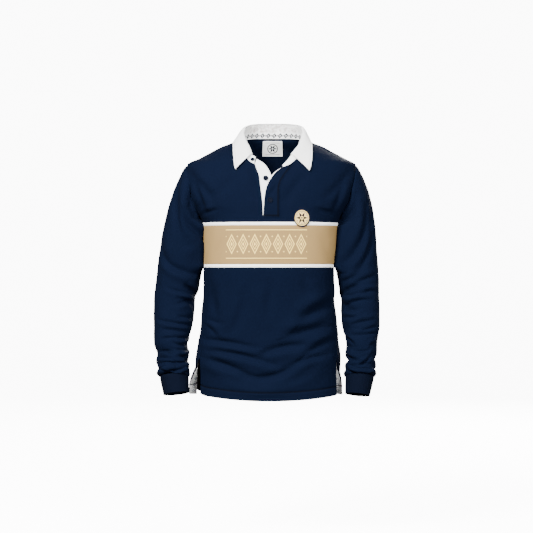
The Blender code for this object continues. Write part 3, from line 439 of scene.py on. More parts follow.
# Folds of the sleeves: the turn round the sleeve and the level of the middle, how
# far each reaches round, its slope in 45 degrees, and its width and height
SLEEVE_FOLDS = table(
    "side turn level reach slope width height",
    (-1, 80, -0.625, 130, 0.004, 0.0060, -0.0040),
    (-1, 190, -0.610, 90, -0.006, 0.0065, -0.0040),
    (-1, 60, -0.585, 80, 0.005, 0.0080, -0.0045),
    (-1, 170, -0.560, 60, 0.010, 0.0080, -0.0045),
    (-1, 110, -0.520, 70, -0.006, 0.0100, -0.0030),
    (-1, 150, -0.445, 70, 0.010, 0.0120, -0.0065),
    (-1, 150, -0.412, 80, -0.014, 0.0120, -0.0060),
    (-1, 300, -0.600, 90, 0.006, 0.0080, -0.0045),
    (-1, 270, -0.440, 80, 0.012, 0.0130, -0.0050),
    (1, 80, -0.622, 130, -0.004, 0.0060, -0.0040),
    (1, 190, -0.602, 90, 0.006, 0.0065, -0.0040),
    (1, 60, -0.595, 80, -0.005, 0.0080, -0.0045),
    (1, 150, -0.567, 70, 0.008, 0.0080, -0.0045),
    (1, 90, -0.525, 80, 0.006, 0.0100, -0.0030),
    (1, 150, -0.450, 80, 0.012, 0.0120, -0.0060),
    (1, 140, -0.405, 80, -0.016, 0.0120, -0.0060),
    (1, 300, -0.590, 90, -0.006, 0.0080, -0.0045),
    (1, 270, -0.435, 80, -0.012, 0.0130, -0.0050),
)

# Finer creases of the front and back: a trough through three places, its width and
# height, and the share of it that rises as a roll above (or, if negative, below)
CREASE_PLACES = "x1 level1 x2 level2 x3 level3 width height roll"
FRONT_CREASES = table(
    CREASE_PLACES,
    (-0.174, -0.597, -0.120, -0.613, -0.060, -0.638, 0.0105, -0.0085, -0.6),
    (-0.071, -0.638, -0.000, -0.643, 0.078, -0.604, 0.0110, -0.0080, -0.7),
    (0.065, -0.609, 0.108, -0.594, 0.154, -0.586, 0.0080, -0.0050, -0.6),
    (-0.174, -0.545, -0.120, -0.550, -0.041, -0.564, 0.0085, -0.0075, -0.7),
    (-0.168, -0.575, -0.092, -0.582, 0.016, -0.613, 0.0085, -0.0060, -0.6),
    (-0.022, -0.582, 0.032, -0.563, 0.097, -0.558, 0.0100, -0.0065, -0.6),
    (0.049, -0.532, 0.092, -0.520, 0.149, -0.507, 0.0130, -0.0085, 0.8),
    (0.084, -0.494, 0.125, -0.464, 0.173, -0.442, 0.0150, -0.0095, 0.8),
    (0.097, -0.581, 0.130, -0.562, 0.173, -0.543, 0.0100, -0.0070, 0.7),
    (-0.174, -0.488, -0.155, -0.494, -0.130, -0.499, 0.0060, -0.0030, -0.6),
    (-0.177, -0.502, -0.160, -0.518, -0.144, -0.535, 0.0060, -0.0030, 0.6),
    (-0.130, -0.640, -0.049, -0.668, 0.016, -0.659, 0.0120, -0.0035, -0.5),
    (0.125, -0.630, 0.081, -0.649, 0.032, -0.662, 0.0120, -0.0030, 0.5),
    (-0.071, -0.423, -0.082, -0.478, -0.106, -0.526, 0.0130, -0.0050, 0.6),
    (0.002, -0.388, -0.003, -0.434, -0.003, -0.483, 0.0120, -0.0040, 0.5),
    (-0.158, -0.402, -0.155, -0.440, -0.149, -0.478, 0.0110, -0.0040, 0.5),
    (0.089, -0.380, 0.097, -0.407, 0.116, -0.434, 0.0130, -0.0040, 0.5),
    (-0.159, -0.338, -0.141, -0.297, -0.120, -0.255, 0.0100, -0.0024, 0.6),
    (0.171, -0.334, 0.156, -0.299, 0.144, -0.261, 0.0110, -0.0020, 0.5),
    (-0.208, -0.117, -0.190, -0.157, -0.177, -0.195, 0.0065, -0.0055, 0.7),
    (-0.228, -0.076, -0.193, -0.119, -0.158, -0.155, 0.0110, -0.0045, 0.6),
    (-0.182, -0.198, -0.163, -0.193, -0.141, -0.187, 0.0060, -0.0035, 0.7),
    (-0.049, -0.071, -0.038, -0.109, -0.027, -0.152, 0.0120, -0.0045, -0.6),
    (-0.082, -0.087, -0.120, -0.125, -0.168, -0.157, 0.0140, -0.0025, 0.5),
    (0.097, -0.098, 0.065, -0.130, 0.038, -0.174, 0.0130, -0.0035, 0.5),
    (0.201, -0.119, 0.187, -0.157, 0.173, -0.195, 0.0070, -0.0050, -0.7),
    (0.222, -0.076, 0.190, -0.119, 0.152, -0.155, 0.0110, -0.0040, -0.6),
    (0.173, -0.198, 0.152, -0.193, 0.125, -0.187, 0.0060, -0.0030, 0.6),
    (0.017, -0.122, 0.009, -0.136, -0.008, -0.156, 0.0050, -0.0022, 0.6),
)
BACK_CREASES = table(
    CREASE_PLACES,
    (-0.150, -0.480, 0.000, -0.535, 0.150, -0.490, 0.0168, -0.0070, -0.7),
    (-0.120, -0.445, -0.010, -0.480, 0.090, -0.460, 0.0189, -0.0057, -0.6),
    (-0.150, -0.600, 0.020, -0.645, 0.160, -0.592, 0.0168, -0.0070, -0.7),
    (-0.160, -0.560, -0.090, -0.580, -0.020, -0.582, 0.0147, -0.0057, -0.6),
    (0.165, -0.555, 0.100, -0.574, 0.030, -0.570, 0.0147, -0.0057, 0.6),
    (0.150, -0.420, 0.110, -0.430, 0.060, -0.426, 0.0168, -0.0053, 0.6),
    (-0.165, -0.415, -0.120, -0.424, -0.070, -0.416, 0.0168, -0.0053, -0.6),
    (-0.200, -0.120, -0.160, -0.190, -0.110, -0.225, 0.0112, -0.0042, 0.6),
    (0.205, -0.125, 0.165, -0.190, 0.115, -0.228, 0.0112, -0.0042, 0.6),
    (-0.120, -0.050, -0.060, -0.085, 0.000, -0.095, 0.0168, -0.0031, -0.5),
    (0.130, -0.050, 0.070, -0.085, 0.010, -0.098, 0.0168, -0.0031, 0.5),
    (-0.090, -0.300, -0.060, -0.290, -0.020, -0.300, 0.0168, -0.0026, 0.5),
)

# Creases of the sleeves, with turns round the sleeve in degrees in place of x
SLEEVE_CREASES = table(
    "side turn1 level1 turn2 level2 turn3 level3 width height roll",
    (-1, 113, -0.394, 135, -0.406, 185, -0.420, 0.0055, -0.0054, 0.7),
    (-1, 70, -0.403, 108, -0.414, 175, -0.426, 0.0050, -0.0043, -0.7),
    (-1, 98, -0.447, 121, -0.442, 165, -0.437, 0.0060, -0.0047, -0.7),
    (-1, 100, -0.432, 125, -0.436, 160, -0.452, 0.0060, -0.0040, 0.7),
    (-1, 105, -0.481, 126, -0.484, 170, -0.487, 0.0050, -0.0040, -0.7),
    (-1, 45, -0.490, 96, -0.499, 160, -0.507, 0.0050, -0.0043, -0.7),
    (-1, 60, -0.517, 95, -0.519, 140, -0.526, 0.0050, -0.0025, 0.6),
    (-1, 105, -0.536, 128, -0.540, 175, -0.540, 0.0050, -0.0054, -0.8),
    (-1, 60, -0.541, 85, -0.539, 105, -0.538, 0.0045, -0.0032, 0.6),
    (-1, 95, -0.552, 125, -0.560, 150, -0.556, 0.0050, -0.0036, -0.7),
    (-1, 40, -0.578, 70, -0.576, 98, -0.579, 0.0042, -0.0047, -0.8),
    (-1, 105, -0.571, 127, -0.572, 170, -0.574, 0.0045, -0.0054, -0.8),
    (-1, 120, -0.586, 140, -0.590, 175, -0.586, 0.0042, -0.0043, 0.8),
    (-1, 25, -0.612, 78, -0.606, 105, -0.618, 0.0045, -0.0058, -0.8),
    (-1, 95, -0.603, 123, -0.607, 180, -0.600, 0.0045, -0.0054, -0.8),
    (-1, 30, -0.596, 55, -0.592, 85, -0.596, 0.0045, -0.0036, 0.7),
    (-1, 45, -0.639, 82, -0.631, 135, -0.621, 0.0042, -0.0061, -0.8),
    (-1, 125, -0.636, 150, -0.633, 190, -0.638, 0.0042, -0.0043, 0.8),
    (-1, 20, -0.628, 40, -0.626, 62, -0.630, 0.0042, -0.0040, 0.7),
    (-1, 200, -0.400, 235, -0.412, 280, -0.404, 0.0070, -0.0054, -0.7),
    (-1, 210, -0.442, 250, -0.436, 300, -0.448, 0.0070, -0.0050, 0.7),
    (-1, 200, -0.505, 240, -0.498, 290, -0.506, 0.0060, -0.0040, -0.7),
    (-1, 190, -0.548, 240, -0.556, 310, -0.548, 0.0055, -0.0047, -0.7),
    (-1, 200, -0.585, 250, -0.578, 320, -0.588, 0.0050, -0.0050, -0.8),
    (-1, 210, -0.610, 270, -0.618, 340, -0.610, 0.0050, -0.0054, -0.8),
    (-1, 190, -0.632, 260, -0.636, 345, -0.630, 0.0045, -0.0050, -0.8),
    (1, 180, -0.424, 118, -0.404, 92, -0.395, 0.0055, -0.0050, 0.7),
    (1, 172, -0.421, 116, -0.422, 90, -0.414, 0.0050, -0.0040, -0.7),
    (1, 88, -0.421, 66, -0.411, 30, -0.412, 0.0055, -0.0047, 0.7),
    (1, 145, -0.456, 104, -0.438, 60, -0.436, 0.0055, -0.0047, 0.7),
    (1, 170, -0.463, 124, -0.464, 100, -0.463, 0.0050, -0.0040, -0.7),
    (1, 120, -0.503, 89, -0.495, 45, -0.489, 0.0055, -0.0043, 0.7),
    (1, 90, -0.521, 69, -0.514, 42, -0.509, 0.0050, -0.0036, 0.7),
    (1, 125, -0.532, 85, -0.530, 38, -0.527, 0.0050, -0.0047, 0.7),
    (1, 165, -0.484, 126, -0.484, 105, -0.482, 0.0055, -0.0036, -0.6),
    (1, 185, -0.532, 145, -0.545, 120, -0.556, 0.0050, -0.0050, 0.8),
    (1, 125, -0.574, 96, -0.576, 65, -0.573, 0.0045, -0.0054, -0.8),
    (1, 60, -0.560, 45, -0.556, 25, -0.560, 0.0050, -0.0043, 0.7),
    (1, 165, -0.588, 124, -0.597, 95, -0.600, 0.0045, -0.0054, 0.8),
    (1, 92, -0.614, 75, -0.603, 50, -0.592, 0.0045, -0.0054, 0.8),
    (1, 135, -0.618, 92, -0.620, 45, -0.625, 0.0042, -0.0054, -0.8),
    (1, 165, -0.622, 133, -0.629, 112, -0.632, 0.0040, -0.0047, 0.8),
    (1, 126, -0.637, 100, -0.642, 70, -0.642, 0.0038, -0.0047, -0.8),
    (1, 60, -0.640, 45, -0.636, 22, -0.640, 0.0042, -0.0047, 0.8),
    (1, 155, -0.388, 119, -0.378, 97, -0.369, 0.0060, -0.0043, 0.7),
    (1, 110, -0.400, 83, -0.382, 38, -0.368, 0.0070, -0.0043, 0.7),
    (1, 200, -0.405, 240, -0.398, 290, -0.410, 0.0070, -0.0050, -0.7),
    (1, 205, -0.445, 250, -0.452, 300, -0.440, 0.0070, -0.0050, 0.7),
    (1, 195, -0.500, 240, -0.508, 290, -0.498, 0.0060, -0.0040, -0.7),
    (1, 190, -0.552, 240, -0.545, 310, -0.555, 0.0055, -0.0047, -0.7),
    (1, 200, -0.582, 250, -0.590, 320, -0.580, 0.0050, -0.0050, -0.8),
    (1, 210, -0.612, 270, -0.606, 340, -0.616, 0.0050, -0.0054, -0.8),
    (1, 190, -0.634, 260, -0.630, 345, -0.636, 0.0045, -0.0050, -0.8),
    (-1, 25, -0.100, 60, -0.180, 97, -0.285, 0.0110, -0.0090, 0.7),
    (-1, 85, -0.190, 119, -0.245, 160, -0.275, 0.0090, -0.0080, 0.7),
    (-1, 41, -0.316, 85, -0.350, 134, -0.366, 0.0080, -0.0065, -0.7),
    (-1, 78, -0.115, 98, -0.160, 122, -0.200, 0.0075, -0.0060, 0.7),
    (-1, 8, -0.250, 30, -0.300, 70, -0.330, 0.0120, -0.0030, 0.5),
    (-1, 210, -0.280, 260, -0.200, 320, -0.140, 0.0110, -0.0050, 0.6),
    (-1, 200, -0.360, 240, -0.320, 290, -0.300, 0.0100, -0.0045, 0.6),
    (1, 50, -0.175, 82, -0.275, 118, -0.342, 0.0110, -0.0090, 0.7),
    (1, 33, -0.255, 72, -0.325, 100, -0.375, 0.0100, -0.0070, 0.7),
    (1, 80, -0.150, 108, -0.195, 150, -0.232, 0.0085, -0.0075, 0.7),
    (1, 70, -0.090, 88, -0.130, 120, -0.190, 0.0075, -0.0060, 0.7),
    (1, 12, -0.150, 35, -0.210, 60, -0.300, 0.0120, -0.0035, -0.5),
    (1, 210, -0.275, 255, -0.205, 315, -0.135, 0.0110, -0.0050, 0.6),
    (1, 200, -0.355, 245, -0.325, 295, -0.305, 0.0100, -0.0045, 0.6),
)

# Lights: place, size and power in watts
LIGHTS = table(
    "name place size power",
    ("key", (-2.0, -3.2, 2.3), 1.2, 750),
    ("fill", (2.3, -3.8, 0.3), 2.0, 330),
    ("behind", (1.4, 4.0, 1.6), 2.2, 460),
)

# Placket buttons, and how far out from the body the cloth under each one lies
BUTTONS = table(
    "name x level layer",
    ("placket_button_upper", -0.0117, -0.1028, -UNDER_LAYER),
    ("placket_button_lower", 0.0002, -0.1632, OVER_LAYER),
)


# Form of the body, the same as its solids have

def between(rows, key, column, at):
    """Values of a column where the key is at, on a smooth curve through the rows."""
    keys = np.array([row[key] for row in rows], float)
    values = np.array([row[column] for row in rows], float)
    if keys[0] > keys[-1]:
        keys, values = keys[::-1], values[::-1]
    at = np.clip(at, keys[0], keys[-1])
    spans = np.diff(keys)
    rates = np.diff(values) / spans
    before, after = rates[:-1], rates[1:]
    total = np.where(before + after == 0, 1.0, before + after)
    turns = np.where(before * after > 0, 2 * before * after / total, 0.0)
    slopes = np.concatenate([rates[:1], turns, rates[-1:]])
    place = np.clip(np.searchsorted(keys, at, side="right") - 1, 0, len(spans) - 1)
    span = spans[place]
    t = (at - keys[place]) / span
    return (
        (2 * t**3 - 3 * t**2 + 1) * values[place]
        + (t**3 - 2 * t**2 + t) * span * slopes[place]
        + (3 * t**2 - 2 * t**3) * values[place + 1]
        + (t**3 - t**2) * span * slopes[place + 1]
    )


def blend(low, high, part):
    """Value part of the way from low to high."""
    return low + (high - low) * part


def ramp(value, width):
    """Rise from 0 to 1 as the value goes from 0 to the width."""
    return np.clip(value / width, 0, 1)


def signed_power(value, power):
    """A power that keeps its base's sign."""
    return np.copysign(np.abs(value) ** power, value)


def places(x, y, z):
    """Points from their coordinates."""
    return np.stack(np.broadcast_arrays(x, y, z), axis=-1).astype(float)


def unit(vectors):
    """Vectors at a length of one."""
    length = np.linalg.norm(vectors, axis=-1, keepdims=True)
    return vectors / np.maximum(length, 1e-9)


def body(column, level):
    """A size of the body ring at a level."""
    return between(BODY, "level", column, level)


def body_half(level, x):
    """Half width of the body ring on the side where x lies."""
    return np.where(np.asarray(x) < 0, body("left", level), body("right", level))


def turn_at_x(x, level):
    """Turn from the middle of the front at which the body ring reaches x."""
    share = np.minimum(1.0, np.abs(x) / body_half(level, x))
    return np.copysign(np.degrees(np.arcsin(share ** (body("square", level) / 2))), x)


def turn_at_depth(forward, level):
    """Turn, as a positive angle, at which the ring lies that far in front of its middle."""
    depth = np.where(forward > 0, body("front", level), body("back", level))
    share = np.minimum(1.0, np.abs(forward) / depth) ** (body("square", level) / 2)
    return 90.0 - np.copysign(np.degrees(np.arcsin(share)), forward)


def hump(distance, width):
    """Smooth rise from 0 to 1 and back, by the distance from its middle."""
    return np.exp(-((distance / width) ** 2))


def fold_curve(fold):
    """Shares along a fold's curve, and its places across and up."""
    length = abs(fold["x3"] - fold["x1"]) + abs(fold["level3"] - fold["level1"])
    t = np.linspace(0, 1, int(length / CREASE_STEP) + 12)
    first, second, third = (1 - t) ** 2, 2 * t * (1 - t), t * t
    curve = []
    for axis in ("x", "level"):
        low, middle, high = (fold[axis + end] for end in "123")
        curve.append(first * low + second * (2 * middle - 0.5 * (low + high)) + third * high)
    return t, *curve


def fold_rise(folds, across, level):
    """Rise of the cloth at places from the folds that pass near them."""
    rise = np.zeros(np.broadcast(across, level).shape)
    for fold in folds:
        t, line_x, line_up = fold_curve(fold)
        side, up = across[..., None] - line_x, level[..., None] - line_up
        away = np.hypot(side, up)
        nearest = np.argmin(away, axis=-1)
        distance, side, up = (
            np.take_along_axis(offs, nearest[..., None], -1)[..., 0] for offs in (away, side, up)
        )
        fade = np.sin(np.pi * blend(CREASE_START, 1 - CREASE_START, t[nearest]))
        width = fold["width"]
        profile = hump(distance, width)
        roll = fold.get("roll", 0.0)
        if roll:
            turned_up = np.gradient(line_x)[nearest] * up - np.gradient(line_up)[nearest] * side
            above = np.sign(turned_up) * np.sign(line_x[-1] - line_x[0])
            signed = distance * above * math.copysign(1.0, roll)
            profile = profile - abs(roll) * hump(signed - ROLL_AWAY * width, ROLL_WIDTH * width)
        rise += fold["height"] * fade * profile
    return rise


FRONT_FOLDS = [fold for fold in BODY_FOLDS if fold["face"] < 0]
BACK_FOLDS = [fold for fold in BODY_FOLDS if fold["face"] > 0]


def side_turn(level):
    """Turn of the side seam."""
    return turn_at_depth(body("seam", level), level)


def vent_flare(level, turn):
    """Swing of the back's edge at a vent, outwards and to the back."""
    below = np.maximum(0.0, VENT_TOP - level) / (VENT_TOP - HEM_BACK)
    swing = np.sin(np.minimum(1.0, FLARE_HASTE * below) * np.pi / 2)
    side = np.where(turn > 0, 1.0, -1.0)
    radius = 0.5 * (body_half(level, side) + body("back", level))
    away = np.radians(np.abs(turn) - side_turn(level)) * radius
    near = np.maximum(0.0, away) / VENT_TURN_REACH
    turned_in = swing * near * np.exp(1 - near)
    swing = swing * np.exp(-((away / FLARE_FADE) ** 2))
    width = FLARE_OUT * np.where(side > 0, FLARE_LEFT_HAND, 1.0)
    across = side * (width * swing - VENT_TURN_IN * turned_in)
    return places(across, FLARE_BACK * swing - VENT_TURN_FORWARD * turned_in, 0.0)


def body_point(level, turn, back=False):
    """Points of the body cloth; turn runs from the middle of the front towards +X."""
    level, turn = np.broadcast_arrays(np.asarray(level, float), np.asarray(turn, float))
    turn = (turn + 180.0) % 360.0 - 180.0
    angle = np.radians(turn)
    power = 2 / body("square", level)
    across = signed_power(np.sin(angle), power)
    forward = signed_power(np.cos(angle), power)
    x = body_half(level, turn) * across
    y = -np.where(forward > 0, body("front", level), body("back", level)) * forward
    front = fold_rise(FRONT_FOLDS, x, level)
    behind = fold_rise(BACK_FOLDS, x, level)
    y = y - np.where(forward > 0, front, behind) * forward
    points = places(x, y, level)
    if back:
        points = points + vent_flare(level, turn) * (level < VENT_TOP)[..., None]
    return points


def ripple(points, name):
    """Slow unevenness of a cloth."""
    rise = 0.0
    for size, height, seed in RIPPLES[name]:
        shift = Vector((seed, 2 * seed, 3 * seed))
        waves = [noise.noise(Vector(point) / size + shift) for point in points.reshape(-1, 3)]
        rise = rise + height * np.array(waves).reshape(points.shape[:-1])
    return rise


def body_rise(points):
    """Finer creases and unevenness of the body cloth."""
    x, y, level = points[..., 0], points[..., 1], points[..., 2]
    front = np.clip(0.5 - y / SIDE_FADE, 0, 1)
    rise = front * fold_rise(FRONT_CREASES, x, level)
    rise += (1 - front) * fold_rise(BACK_CREASES, x, level)
    calm = ramp(UNDERARM - level, HOOP_FADE) * ramp(level - HOOP_BOTTOM, HOOP_FADE)
    rise += ripple(points, "body") * (1 - HOOP_CALM * calm)
    return rise * blend(HEM_CALM, 1.0, ramp(level - HEM_FRONT, HEM_CALM_REACH))


def body_surface(level, turn, out, back=False):
    """Points moved out from the creased body cloth along its normal."""
    points = body_point(level, turn, back)
    across = body_point(level, turn + 0.5, back) - body_point(level, turn - 0.5, back)
    up = body_point(level + 0.001, turn, back) - body_point(level - 0.001, turn, back)
    normal = unit(np.cross(across, up))
    return points + normal * (body_rise(points) + out)[..., None]


def front_surface(x, level, out):
    """Points moved out from the front at places."""
    x, level = np.broadcast_arrays(np.asarray(x, float), np.asarray(level, float))
    return body_surface(level, turn_at_x(x, level), out)


def back_surface(x, level, out):
    """Points moved out from the back at places."""
    x, level = np.broadcast_arrays(np.asarray(x, float), np.asarray(level, float))
    return body_surface(level, 180.0 - turn_at_x(x, level), out, True)


def hem_level(x, centre):
    """Level of the hem, which rises towards the sides and rounds at its corners."""
    share = np.abs(x) / HEM_RISE_AT
    corner = HEM_CORNER * np.maximum(0.0, share - HEM_CORNER_FROM) ** 2
    return centre + HEM_RISE * share**2 + corner


def collar_point(side, turn, line):
    """Points of a collar line, which is fold, seam or edge."""
    rows = COLLARS[side]
    return places(*(between(rows, "turn", line + axis, turn) for axis in ("_x", "_y", "_z")))


def collar_line(turn, line):
    """Points of a collar line where the turn runs from one front end to the other."""
    turn = np.asarray(turn, float)
    right, left = (collar_point(side, np.abs(turn), line) for side in (-1, 1))
    return np.where((turn > 0)[..., None], left, right)


def stand_axes(turn):
    """Directions up the collar stand and out from it."""
    up = unit(collar_line(turn, "fold") - collar_line(turn, "seam"))
    along = collar_line(turn + 1, "fold") - collar_line(turn - 1, "fold")
    return up, unit(np.cross(up, along))


def armhole_reach(level, back):
    """How far in front of the ring's middle an armhole's edge lies."""
    part = (level - UNDERARM) / (SHOULDER_POINT - UNDERARM)
    bow = np.sin(np.pi * np.clip(part, 0.0, 1.0)) ** ARMHOLE_ROUND
    return blend(body("seam", level), np.where(back, -ARMHOLE_BACK, ARMHOLE_FRONT), bow)


def armhole_turn(level, back):
    """Turn of an armhole's edge."""
    return turn_at_depth(armhole_reach(level, back), level)


# Cloth

def shares(length, step):
    """Shares from 0 to 1 at about an even step, with closer lines at both ends."""
    even = np.linspace(0, 1, max(2, round(length / step)) + 1)
    tight = np.array(EDGE_LINES) / length
    margin = EDGE_MARGIN / length
    inside = even[(even > margin) & (even < 1 - margin)]
    return np.concatenate([[0], tight, inside, 1 - tight[::-1], [1]])


def grid(across, up):
    """Shares of a grid's points across and up, as two arrays."""
    return np.broadcast_arrays(across[None, :], up[:, None])


def normals(points, centre, closed):
    """Outward normals of a grid of points, and whether its order faces outwards."""
    if closed:
        wrapped = np.concatenate([points[:, -2:-1], points, points[:, 1:2]], axis=1)
        along = np.gradient(wrapped, axis=1)[:, 1:-1]
    else:
        along = np.gradient(points, axis=1)
    facing = unit(np.cross(along, np.gradient(points, axis=0)))
    if centre is None:
        away = points - points.mean(axis=1, keepdims=True)
    else:
        away = points - np.array(centre)
    sign = 1.0 if (facing * away * (1, 1, 0)).sum() > 0 else -1.0
    return facing * sign, sign > 0


def edge_distances(points):
    """Distances along the cloth from its left, lower, right and upper edges."""
    result = []
    for axis in (1, 0):
        steps = np.linalg.norm(np.diff(points, axis=axis), axis=-1)
        start = np.zeros_like(np.take(steps, [0], axis=axis))
        result.append(np.concatenate([start, np.cumsum(steps, axis=axis)], axis=axis))
    across, up = result
    return across, up, across[:, -1:] - across, up[-1:] - up


def tucked(distance):
    """Dip of the cloth into a seam at a distance from it."""
    return -TUCK * hump(distance, TUCK_WIDTH)


def patch(points, rise=0.0, sewn="", centre=(0, 0, 0), closed=False):
    """Grid of cloth points raised along its normals, with its sewn edges tucked in."""
    facing, outward = normals(points, centre, closed)
    distances = dict(zip(("left", "low", "right", "top"), edge_distances(points)))
    for edge in sewn.split():
        rise = rise + tucked(distances[edge])
    points = points + facing * np.broadcast_to(rise, points.shape[:-1])[..., None]
    return points, distances, outward


def thicken(maker, wall):
    """Give the cloth two sides, half the wall out and half in, joined at the edges."""
    maker.normal_update()
    outward = maker.verts.layers.float_vector.new("outward")
    for vert in maker.verts:
        vert[outward] = vert.normal
        vert.co -= vert.normal * 0.5 * wall
    made = bmesh.ops.extrude_face_region(maker, geom=maker.faces[:], use_keep_orig=True)
    for vert in made["geom"]:
        if isinstance(vert, bmesh.types.BMVert):
            vert.co += vert[outward] * wall
    maker.verts.layers.float_vector.remove(outward)
    maker.normal_update()


def cloth(name, patches, finish, wall):
    """Cloth piece with a wall, made of one or more grids that join at their edges."""
    maker = bmesh.new()
    near = maker.loops.layers.uv.new("Near")
    far = maker.loops.layers.uv.new("Far")
    for points, distances, outward in patches:
        rows, columns = points.shape[:2]
        made = bmesh.ops.create_grid(maker, x_segments=columns - 1, y_segments=rows - 1, size=0.5)
        spots = {}
        for vert in made["verts"]:
            spot = round((vert.co.y + 0.5) * (rows - 1)), round((vert.co.x + 0.5) * (columns - 1))
            spots[vert] = spot
            vert.co = points[spot]
        faces = {face for vert in made["verts"] for face in vert.link_faces}
        for face in faces:
            for loop in face.loops:
                spot = spots[loop.vert]
                loop[near].uv = distances["left"][spot], distances["low"][spot]
                loop[far].uv = distances["right"][spot], distances["top"][spot]
        if not outward:
            bmesh.ops.reverse_faces(maker, faces=list(faces))
    bmesh.ops.remove_doubles(maker, verts=maker.verts, dist=MERGE)
    thicken(maker, wall)
    for edge in maker.edges:
        edge.smooth = len(edge.link_faces) != 2 or edge.calc_face_angle(0.0) < SHARP_EDGE
    return piece(name, maker, finish)


def piece(name, maker, finish):
    """Finished object from a bmesh, riding with the frame."""
    mesh = bpy.data.meshes.new(name)
    for face in maker.faces:
        face.smooth = True
    maker.to_mesh(mesh)
    maker.free()
    mesh.materials.append(finish)
    thing = bpy.data.objects.new(name, mesh)
    bpy.context.scene.collection.objects.link(thing)
    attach(thing, "root")
    return thing


# Finishes

class Value:
    """A node's output, on which Python's arithmetic adds Math nodes."""

    def __init__(self, finish, socket):
        self.finish = finish
        self.socket = socket

    def maths(self, operation, *values):
        return self.finish.node("ShaderNodeMath", {"operation": operation}, values)

    def __add__(self, other):
        return self.maths("ADD", self, other)

    def __radd__(self, other):
        return self.maths("ADD", other, self)

    def __sub__(self, other):
        return self.maths("SUBTRACT", self, other)

    def __rsub__(self, other):
        return self.maths("SUBTRACT", other, self)

    def __mul__(self, other):
        return self.maths("MULTIPLY", self, other)

    def __rmul__(self, other):
        return self.maths("MULTIPLY", other, self)

    def __truediv__(self, other):
        return self.maths("DIVIDE", self, other)

    def __abs__(self):
        return self.maths("ABSOLUTE", self)

    def __lt__(self, other):
        return self.maths("LESS_THAN", self, other)

    def __gt__(self, other):
        return self.maths("GREATER_THAN", self, other)

    def wave(self):
        """Sine of the value."""
        return self.maths("SINE", self)

    def part(self):
        """What is left of the value above its whole number."""
        return self.maths("FRACT", self)

    def least(self, other):
        return self.maths("MINIMUM", self, other)

    def most(self, other):
        return self.maths("MAXIMUM", self, other)


class Finish:
    """Material built up from nodes on a Principled shader."""

    def __init__(self, name, rough, sheen=0.0, specular=0.06):
        self.material = bpy.data.materials.new(name)
        self.material.use_nodes = True
        self.tree = self.material.node_tree
        self.shader = self.tree.nodes["Principled BSDF"]
        self.shader.inputs["Roughness"].default_value = rough
        self.shader.inputs["Sheen Weight"].default_value = sheen
        self.shader.inputs["Sheen Roughness"].default_value = 0.5
        self.shader.inputs["Specular IOR Level"].default_value = specular

    def node(self, kind, settings, values, output=0):
        """Node of a kind, with its settings made first and then its inputs."""
        made = self.tree.nodes.new(kind)
        for key, setting in settings.items():
            setattr(made, key, setting)
        inputs = values.items() if isinstance(values, dict) else enumerate(values)
        for key, value in inputs:
            self.give(value, made.inputs[key])
        return Value(self, made.outputs[output])

    def give(self, value, socket):
        """Value or node output for a socket."""
        if isinstance(value, Value):
            self.tree.links.new(value.socket, socket)
        else:
            socket.default_value = value

    def coordinates(self, kind="Object"):
        """Place on the piece: its own metres, or a map of distances from its edges."""
        if kind == "Object":
            place = self.node("ShaderNodeTexCoord", {}, {}, 3)
        else:
            place = self.node("ShaderNodeUVMap", {"uv_map": kind}, {})
        return [self.node("ShaderNodeSeparateXYZ", {}, [place], axis) for axis in range(3)]

    def cloud(self, scale, detail=2.0):
        """Soft noise between 0 and 1 over the piece."""
        place = self.node("ShaderNodeTexCoord", {}, {}, 3)
        values = {"Vector": place, "Scale": scale, "Detail": detail}
        return self.node("ShaderNodeTexNoise", {}, values)

    def mix(self, factor, low, high):
        """Colour part of the way from low to high."""
        low, high = (self.opaque(colour) for colour in (low, high))
        return self.node("ShaderNodeMix", {"data_type": "RGBA"}, {0: factor, 6: low, 7: high}, 2)

    def opaque(self, colour):
        """Colour with its alpha, unless it is a node's output."""
        return colour if isinstance(colour, Value) else (*colour, 1.0)

    def colour(self, value):
        self.give(self.opaque(value), self.shader.inputs["Base Color"])

    def bump(self, height, distance, strength=1.0):
        """Fine relief from a height between 0 and 1."""
        values = {"Height": height, "Distance": distance, "Strength": strength}
        self.give(self.node("ShaderNodeBump", {}, values), self.shader.inputs["Normal"])


def polar(off, rise):
    """Distance from a motif's middle, and angle about it."""
    square = off * off + rise * rise
    return square.maths("SQRT", square), rise.maths("ARCTAN2", rise, off)


def shade(colour, factor):
    """Lighter or darker colour."""
    return tuple(min(1.0, part * factor) for part in colour)


def stitch_line(finish, edge, at, reach=0.0030, pitch=0.0034):
    """Masks of a line of stitches at a distance from an edge: its thread, and its groove, which
    sets the groove's relief and its painted shade.
    """
    maps = {"left": ("Near", 0), "low": ("Near", 1), "right": ("Far", 0), "top": ("Far", 1)}
    name, axis = maps[edge]
    place = finish.coordinates(name)
    across, along = place[axis], place[1 - axis]
    off = abs(across - at)
    run = abs((along / pitch).part() - 0.5) < 0.33
    return (off < 0.0005) * run, (1 - off / reach).most(0.0)


